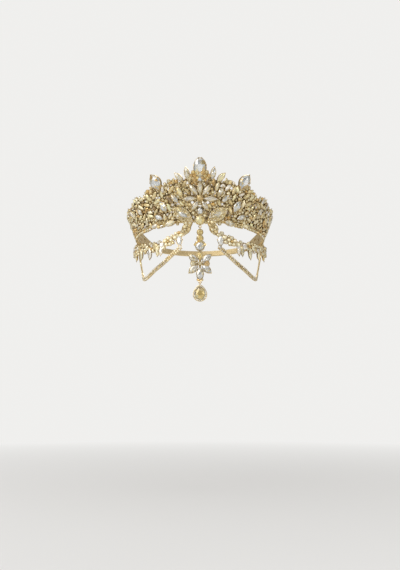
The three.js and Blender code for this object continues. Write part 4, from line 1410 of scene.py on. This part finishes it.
def dress_garland(node, sign):
    stones, cups, taken = Tray(), Tray(), Ground()
    found = fused_stones(node, square_on=TABLES_OUT)
    line = smooth_line(route(STRAND, sign))
    tube(cups, along_line(line, WIRE_STEP), WIRE_RADIUS)
    for stone in sorted(found, key=lambda stone: abs(angle_of(stone.matrix.translation))):
        centre = stone.matrix.translation.copy()
        if stone.kind == "round" and stone.wide > FLOWER_FROM:
            set_flower(stones, cups, taken, centre)
            continue
        hanging_tints = HANGING_TINTS if stone.wide < WHITE_FROM else [(ICE, 1)]
        set_fused(stones, cups, stone, GARLAND_TINTS if stone.kind == "round" else hanging_tints, CALM)
        taken.take([centre], [stone.wide / 2])
    thread_rounds(stones, cups, taken, along_line(line, FILL_STEP))
    cups.cast(node + "_metal", [cup_gilt], "crown", "gilt_metal", [node])
    stones.cast(node + "_stones", [small_crystal], "crown", "clear_crystal")
    print(node, "stones of the CAD model:", len(found))


dress_garland("garland_right", 1)
dress_garland("garland_left", -1)

# %% [markdown]
# The swag is cup chain: little stones in square cups, two rows side by side, the cups joined by a fine
# link. It follows the CAD strip, whose points are repeated here as angle round the crown, drop below the
# rim and distance from the crown's middle. A larger round closes it at both ends.

# %% Cup chains
SWAG = [  # angle round the crown, drop below the rim mm, distance from the middle mm
    (16.4, 29.7, 81.8), (24.5, 38.4, 81.4), (32, 45.4, 80.4), (43.5, 52, 78.2), (54.5, 56.4, 76),
    (64, 57.4, 74.4), (74, 55.2, 73.4), (84, 48.4, 73.6), (92, 38.4, 75.6), (97.5, 26, 79),
    (99.6, 12.4, 82.2),
]
ROW_GAP, CUP_PITCH, CUP_RISE = 1.32 * MM, 2.62 * MM, 0.5 * MM
CHAIN_STONE, CHAIN_WOBBLE = 2.35 * MM, 6
LINK_APART, LINK_RADIUS, LINK_SIDES = 0.6 * MM, 0.35 * MM, 5
END_STONE, END_RISE = 4.4 * MM, 0.6 * MM
CHAIN_TINTS = [(PEARL, 45), (CREAM, 40), (CHAMPAGNE, 15)]
BOX_WALL = (0.52, 0.0), (0.56, -0.3), (0.4, -0.62)  # half width and height, from the rim to the foot
BOX_PRONG = 0.36, 0.22, -0.1, 0.26  # half distance, size, low and high
CORNERS = [(x, y) for x in (-1, 1) for y in (-1, 1)]


def square_cup():
    """A square cup one unit wide, with a prong at each corner."""
    half, size, low, high = BOX_PRONG
    wall = hull_of([(x * s, y * s, z) for x, y in CORNERS for s, z in BOX_WALL])
    return one_finish(joined([wall] + [prong(x * half, y * half, size, low, high) for x, y in CORNERS]))


def dress_chain(node, sign):
    stones, cups, box = Tray(), Tray(), square_cup()
    line = along_line(smooth_line(route(SWAG, sign)), CUP_PITCH)
    for i, point in enumerate(line):
        ahead = (line[min(i + 1, len(line) - 1)] - line[max(i - 1, 0)]).normalized()
        outward = Vector((point.x, point.y, 0)).normalized()
        outward = (outward - ahead * outward.dot(ahead)).normalized()
        across = ahead.cross(outward)
        for row in (-1, 1):
            place = point + across * row * ROW_GAP + outward * CUP_RISE
            matrix = facing(place, (across, ahead, outward), CHAIN_STONE, CHAIN_STONE, wobble=CHAIN_WOBBLE)
            stones.lay(CHIPS["round"], matrix, ground_tint(CHAIN_TINTS), PLAY)
            cups.lay(box, matrix)
    for row in (-1, 1):
        tube(cups, [p + Vector((0, 0, row * LINK_APART)) for p in line], LINK_RADIUS, LINK_SIDES)
    for end in (line[0], line[-1]):
        axes = radial_axes(end)
        set_small(stones, cups, "round", end + axes[2] * END_RISE, axes, END_STONE, END_STONE, CHAIN_TINTS)
    cups.cast(node + "_cups", [gilt], "crown", "gilt_metal", [node])
    stones.cast(node + "_stones", [small_crystal], "crown", "clear_crystal")


dress_chain("swag_chain_right", 1)
dress_chain("swag_chain_left", -1)

# %% [markdown]
# The pendant's stem has amber buds beside the star, a collar over its white round, and three amber
# rounds that tie the foot of the star like a bow, its knot a little forward, clear of the drop's ring. It
# ends in a pear with a halo: a ring of tiny pale stones round the champagne one. The halo follows the
# same pear outline as the stone, drawn a little larger, and lies on a thin plate with a wire round its
# edge.

# %% Pendant details
BUD_TINTS = [((0.90, 0.62, 0.25), 60), (CHAMPAGNE, 20), (CREAM, 20)]
SHOULDERS = 20, 160, 3.1 * MM, 2.9 * MM, 1.2 * MM, 0.5 * MM
BOW = (-2.3, 0.5, 0), (2.3, 0.5, 0), (0, -0.6, 1.0)  # across, up and forward, mm
BOW_STONE = 2.9 * MM
HALO_TINTS = [(WHITE, 30), (PEARL, 50), (CREAM, 20)]
HALO_STONE, HALO_GROW, HALO_PITCH, HALO_LIFT, HALO_WOBBLE, HALO_PLAY = 2 * MM, 2 * MM, 0.9, 0.15, 8, 0.2
FRAME_RISE, FRAME_GROW, FRAME_WIRE, FRAME_PLATE = 0.5 * MM, 4.2 * MM, 0.45 * MM, 1.2 * MM
PEAR_POINTS = 48


def dress_stem():
    stones, cups = Tray(), Tray()
    found = fused_stones("pendant_stem")
    for stone in found:
        set_fused(stones, cups, stone, BUD_TINTS)
    collar(stones, cups, "stem_round", *SHOULDERS)
    matrix, _, long, _ = main_stones["star_bottom"]
    foot, axes = matrix.translation - Vector((0, 0, long / 2)), axes_of(matrix)
    for across, rise, forward in BOW:
        spot = foot + (Vector((across, 0, rise)) + axes[2] * forward) * MM
        size = BOW_STONE, BOW_STONE
        set_small(stones, cups, "round", spot, axes, *size, BUD_TINTS, lift=0, wobble=COLLAR_WOBBLE)
    stones.cast("pendant_buds", [small_crystal], "pendant", "clear_crystal")
    cups.cast("pendant_bud_cups", [gilt], "pendant", "gilt_metal")
    print("fused stones of the pendant:", len(found))


def dress_drop():
    matrix, kind, long, wide = main_stones["drop_stone"]
    halo, metal, axes = Tray(), Tray(), axes_of(matrix)
    seats = ring(kind, long + HALO_GROW, wide + HALO_GROW, PEAR_POINTS, FRAME_RISE + HALO_LIFT * HALO_STONE)
    seats = [Vector(seat) for seat in seats + seats[:1]]
    for point in along_line(seats, HALO_STONE * HALO_PITCH)[:-1]:
        spot = facing(matrix @ point, axes, HALO_STONE, HALO_STONE, wobble=HALO_WOBBLE)
        halo.lay(pave_chip, spot, ground_tint(HALO_TINTS), HALO_PLAY)
    halo.cast("drop_halo", [small_crystal], "drop", "clear_crystal")
    edge = outline(kind, long + FRAME_GROW, wide + FRAME_GROW, PEAR_POINTS)
    tube(metal, [matrix @ Vector((x, y, FRAME_RISE)) for x, y in edge], FRAME_WIRE, closed=True)
    plate = hull_of([(x, y, z) for x, y in edge for z in (FRAME_RISE, FRAME_RISE - FRAME_PLATE)])
    metal.lay(one_finish(plate), matrix)
    metal.cast("drop_halo_frame", [gilt], "drop", "gilt_metal")


dress_stem()
dress_drop()

# %% [markdown]
# The inside of the crown is finished too. Behind each main stone lies a gallery, a low ring that follows
# its outline and stiffens the seat: an outline drawn as one face, inset, its middle taken out, and the
# rest extruded. Each small cup is held by a rivet, whose head shows on the inner face.

# %% Galleries and rivets
WALL = 1.4 * MM
GALLERY_WIDTH, GALLERY_RISE, GALLERY_SINK, GALLERY_POINTS = 0.9 * MM, 0.6 * MM, 0.2, 16
BEHIND = 12 * MM
METAL_OF = {"crown": "crown_frame", "pendant": "pendant_stem", "drop": "drop_setting"}
RIVET_WIDE = 1.3 * MM
rivet_head = one_finish(hull_of(ring("round", 1, 1, 6, 0.15) + ring("round", 0.6, 0.6, 6, -0.25)))


def gallery(kind, long, wide):
    bm = bmesh.new()
    face = bm.faces.new([bm.verts.new((x, y, 0)) for x, y in outline(kind, long, wide, GALLERY_POINTS)])
    face.normal_update()
    bmesh.ops.inset_region(bm, faces=[face], thickness=GALLERY_WIDTH, use_boundary=True, use_even_offset=True)
    bmesh.ops.delete(bm, geom=[face], context="FACES_ONLY")
    made = bmesh.ops.extrude_face_region(bm, geom=bm.faces[:], use_keep_orig=True)["geom"]
    risen = [part for part in made if isinstance(part, bmesh.types.BMVert)]
    bmesh.ops.translate(bm, verts=risen, vec=(0, 0, -GALLERY_RISE))
    bmesh.ops.recalc_face_normals(bm, faces=bm.faces)
    return one_finish(solid_of(bm))


def finish_backs():
    for body, metal in METAL_OF.items():
        rings, tree = Tray(), tree_of([metal])
        for node, (matrix, kind, long, wide) in main_stones.items():
            inward = -axes_of(matrix)[2]
            hit = tree.ray_cast(matrix.translation + inward * BEHIND, -inward, BEHIND)[0]
            if body_of(node) != body or hit is None or node.startswith("wing"):
                continue
            place = matrix.copy()
            place.translation = hit - inward * GALLERY_SINK * GALLERY_RISE
            rings.lay(gallery(kind, long, wide), place)
        rings.cast(body + "_galleries", [gilt], body, "gilt_metal")
    heads = Tray()
    for angle, up in rivets:
        axes = wall_axes(angle)
        inside = wall_point(angle, up) - axes[2] * WALL
        heads.lay(rivet_head, facing(inside, axes, RIVET_WIDE, RIVET_WIDE, wobble=0))
    heads.cast("rivet_heads", [gilt], "crown", "gilt_metal")


finish_backs()

# %% [markdown]
# The crown is held up over a pale floor, in a soft pale room. The floor is one large disc. It fades into
# the room's own light with distance, so that no edge shows.

# %% The floor
PALE, FLOOR_COLOR = (0.87, 0.865, 0.85), (0.66, 0.655, 0.645)
FLOOR_DROP, FLOOR_RADIUS, FLOOR_SIDES, FLOOR_FADE, FLOOR_ROUGHNESS = 0.31, 4, 64, 0.9, 0.9


def make_floor():
    bm = bmesh.new()
    bmesh.ops.create_circle(bm, cap_ends=True, segments=FLOOR_SIDES, radius=FLOOR_RADIUS)
    bmesh.ops.translate(bm, verts=bm.verts, vec=(0, 0, -FLOOR_DROP))
    mesh = bpy.data.meshes.new("floor")
    bm.to_mesh(mesh)
    bm.free()
    floor = bpy.data.objects.new("floor", mesh)
    bpy.context.scene.collection.objects.link(floor)
    material, tree, shader = principled("pale_floor")
    shader.inputs["Base Color"].default_value = (*FLOOR_COLOR, 1)
    shader.inputs["Roughness"].default_value = FLOOR_ROUGHNESS
    far = tree.nodes.new("ShaderNodeEmission")
    far.inputs["Color"].default_value = (*PALE, 1)
    gradient = tree.nodes.new("ShaderNodeTexGradient")
    gradient.gradient_type = "SPHERICAL"
    place = tree.nodes.new("ShaderNodeMapping")
    place.inputs["Scale"].default_value = (FLOOR_FADE, FLOOR_FADE, 0)
    coordinates = tree.nodes.new("ShaderNodeTexCoord")
    mix = tree.nodes.new("ShaderNodeMixShader")
    tree.links.new(coordinates.outputs["Object"], place.inputs["Vector"])
    tree.links.new(place.outputs["Vector"], gradient.inputs["Vector"])
    tree.links.new(gradient.outputs["Fac"], mix.inputs["Fac"])
    tree.links.new(far.outputs["Emission"], mix.inputs[1])
    tree.links.new(shader.outputs["BSDF"], mix.inputs[2])
    tree.links.new(mix.outputs["Shader"], tree.nodes["Material Output"].inputs["Surface"])
    mesh.materials.append(material)


make_floor()
print("floor", FLOOR_DROP, "m below the rim")

# %% [markdown]
# The camera sees a plain pale room. What the stones mirror is another one, with a dark band at eye level,
# because facets only glitter where light and dark lie side by side.

# %% The air
ROOM_LIGHT, ROOM_FLOOR, ROOM_SKY = 0.9, (0.55, 0.53, 0.5), (1.2, 1.2, 1.2)
ROOM_BANDS = (0.42, 0.55), (0.55, 0.26), (0.72, 0.36), (0.85, 0.8)  # height in the room and its light
ROOM_WARMTH = (1, 0.98, 0.95)


def make_air():
    world = bpy.data.worlds.new("air")
    bpy.context.scene.world = world
    world.use_nodes = True
    tree = world.node_tree
    seen, room = tree.nodes["Background"], tree.nodes.new("ShaderNodeBackground")
    seen.inputs["Color"].default_value = (*PALE, 1)
    room.inputs["Strength"].default_value = ROOM_LIGHT
    coordinates = tree.nodes.new("ShaderNodeTexCoord")
    parts = tree.nodes.new("ShaderNodeSeparateXYZ")
    ramp = tree.nodes.new("ShaderNodeValToRGB")
    elements = ramp.color_ramp.elements
    elements[0].position, elements[0].color = 0.0, (*ROOM_FLOOR, 1)
    elements[1].position, elements[1].color = 1.0, (*ROOM_SKY, 1)
    for position, value in ROOM_BANDS:
        elements.new(position).color = (*(value * warmth for warmth in ROOM_WARMTH), 1)
    lift = tree.nodes.new("ShaderNodeMapRange")
    lift.inputs["From Min"].default_value = -1
    path = tree.nodes.new("ShaderNodeLightPath")
    mix = tree.nodes.new("ShaderNodeMixShader")
    tree.links.new(coordinates.outputs["Generated"], parts.inputs["Vector"])
    tree.links.new(parts.outputs["Z"], lift.inputs["Value"])
    tree.links.new(lift.outputs["Result"], ramp.inputs["Fac"])
    tree.links.new(ramp.outputs["Color"], room.inputs["Color"])
    tree.links.new(path.outputs["Is Camera Ray"], mix.inputs["Fac"])
    tree.links.new(room.outputs["Background"], mix.inputs[1])
    tree.links.new(seen.outputs["Background"], mix.inputs[2])
    tree.links.new(mix.outputs["Shader"], tree.nodes["World Output"].inputs["Surface"])


make_air()
print("the room that the stones mirror has", len(ROOM_BANDS) + 2, "bands")

# %% [markdown]
# A large key light from the left models the stones, and a weak one fills the right. Two small lights
# give the stones their sparks, and one behind lifts the crest from the room.

# %% The lights
LIT_POINT = Vector((0, -0.04, 0))
LIGHTS = [  # name, place, size and power
    ("key", (-0.85, -0.8, 0.65), 1.4, 11), ("fill", (0.95, -0.75, 0.15), 0.5, 1.0),
    ("back", (0.25, 1.0, 0.95), 0.5, 2.5), ("spark_left", (-0.35, -1.1, 0.05), 0.14, 0.35),
    ("spark_right", (0.3, -1.0, 0.45), 0.12, 0.6),
]


def make_light(name, place, size, power):
    light = bpy.data.lights.new(name, "AREA")
    light.size = size
    light.energy = power
    lamp = bpy.data.objects.new(name, light)
    bpy.context.scene.collection.objects.link(lamp)
    lamp.location = place
    lamp.rotation_euler = (LIT_POINT - Vector(place)).to_track_quat("-Z", "Y").to_euler()
    lamp.visible_camera = False


for row in LIGHTS:
    make_light(*row)
bpy.context.scene.view_settings.view_transform = "Standard"
print("lights:", [name for name, *_ in LIGHTS])
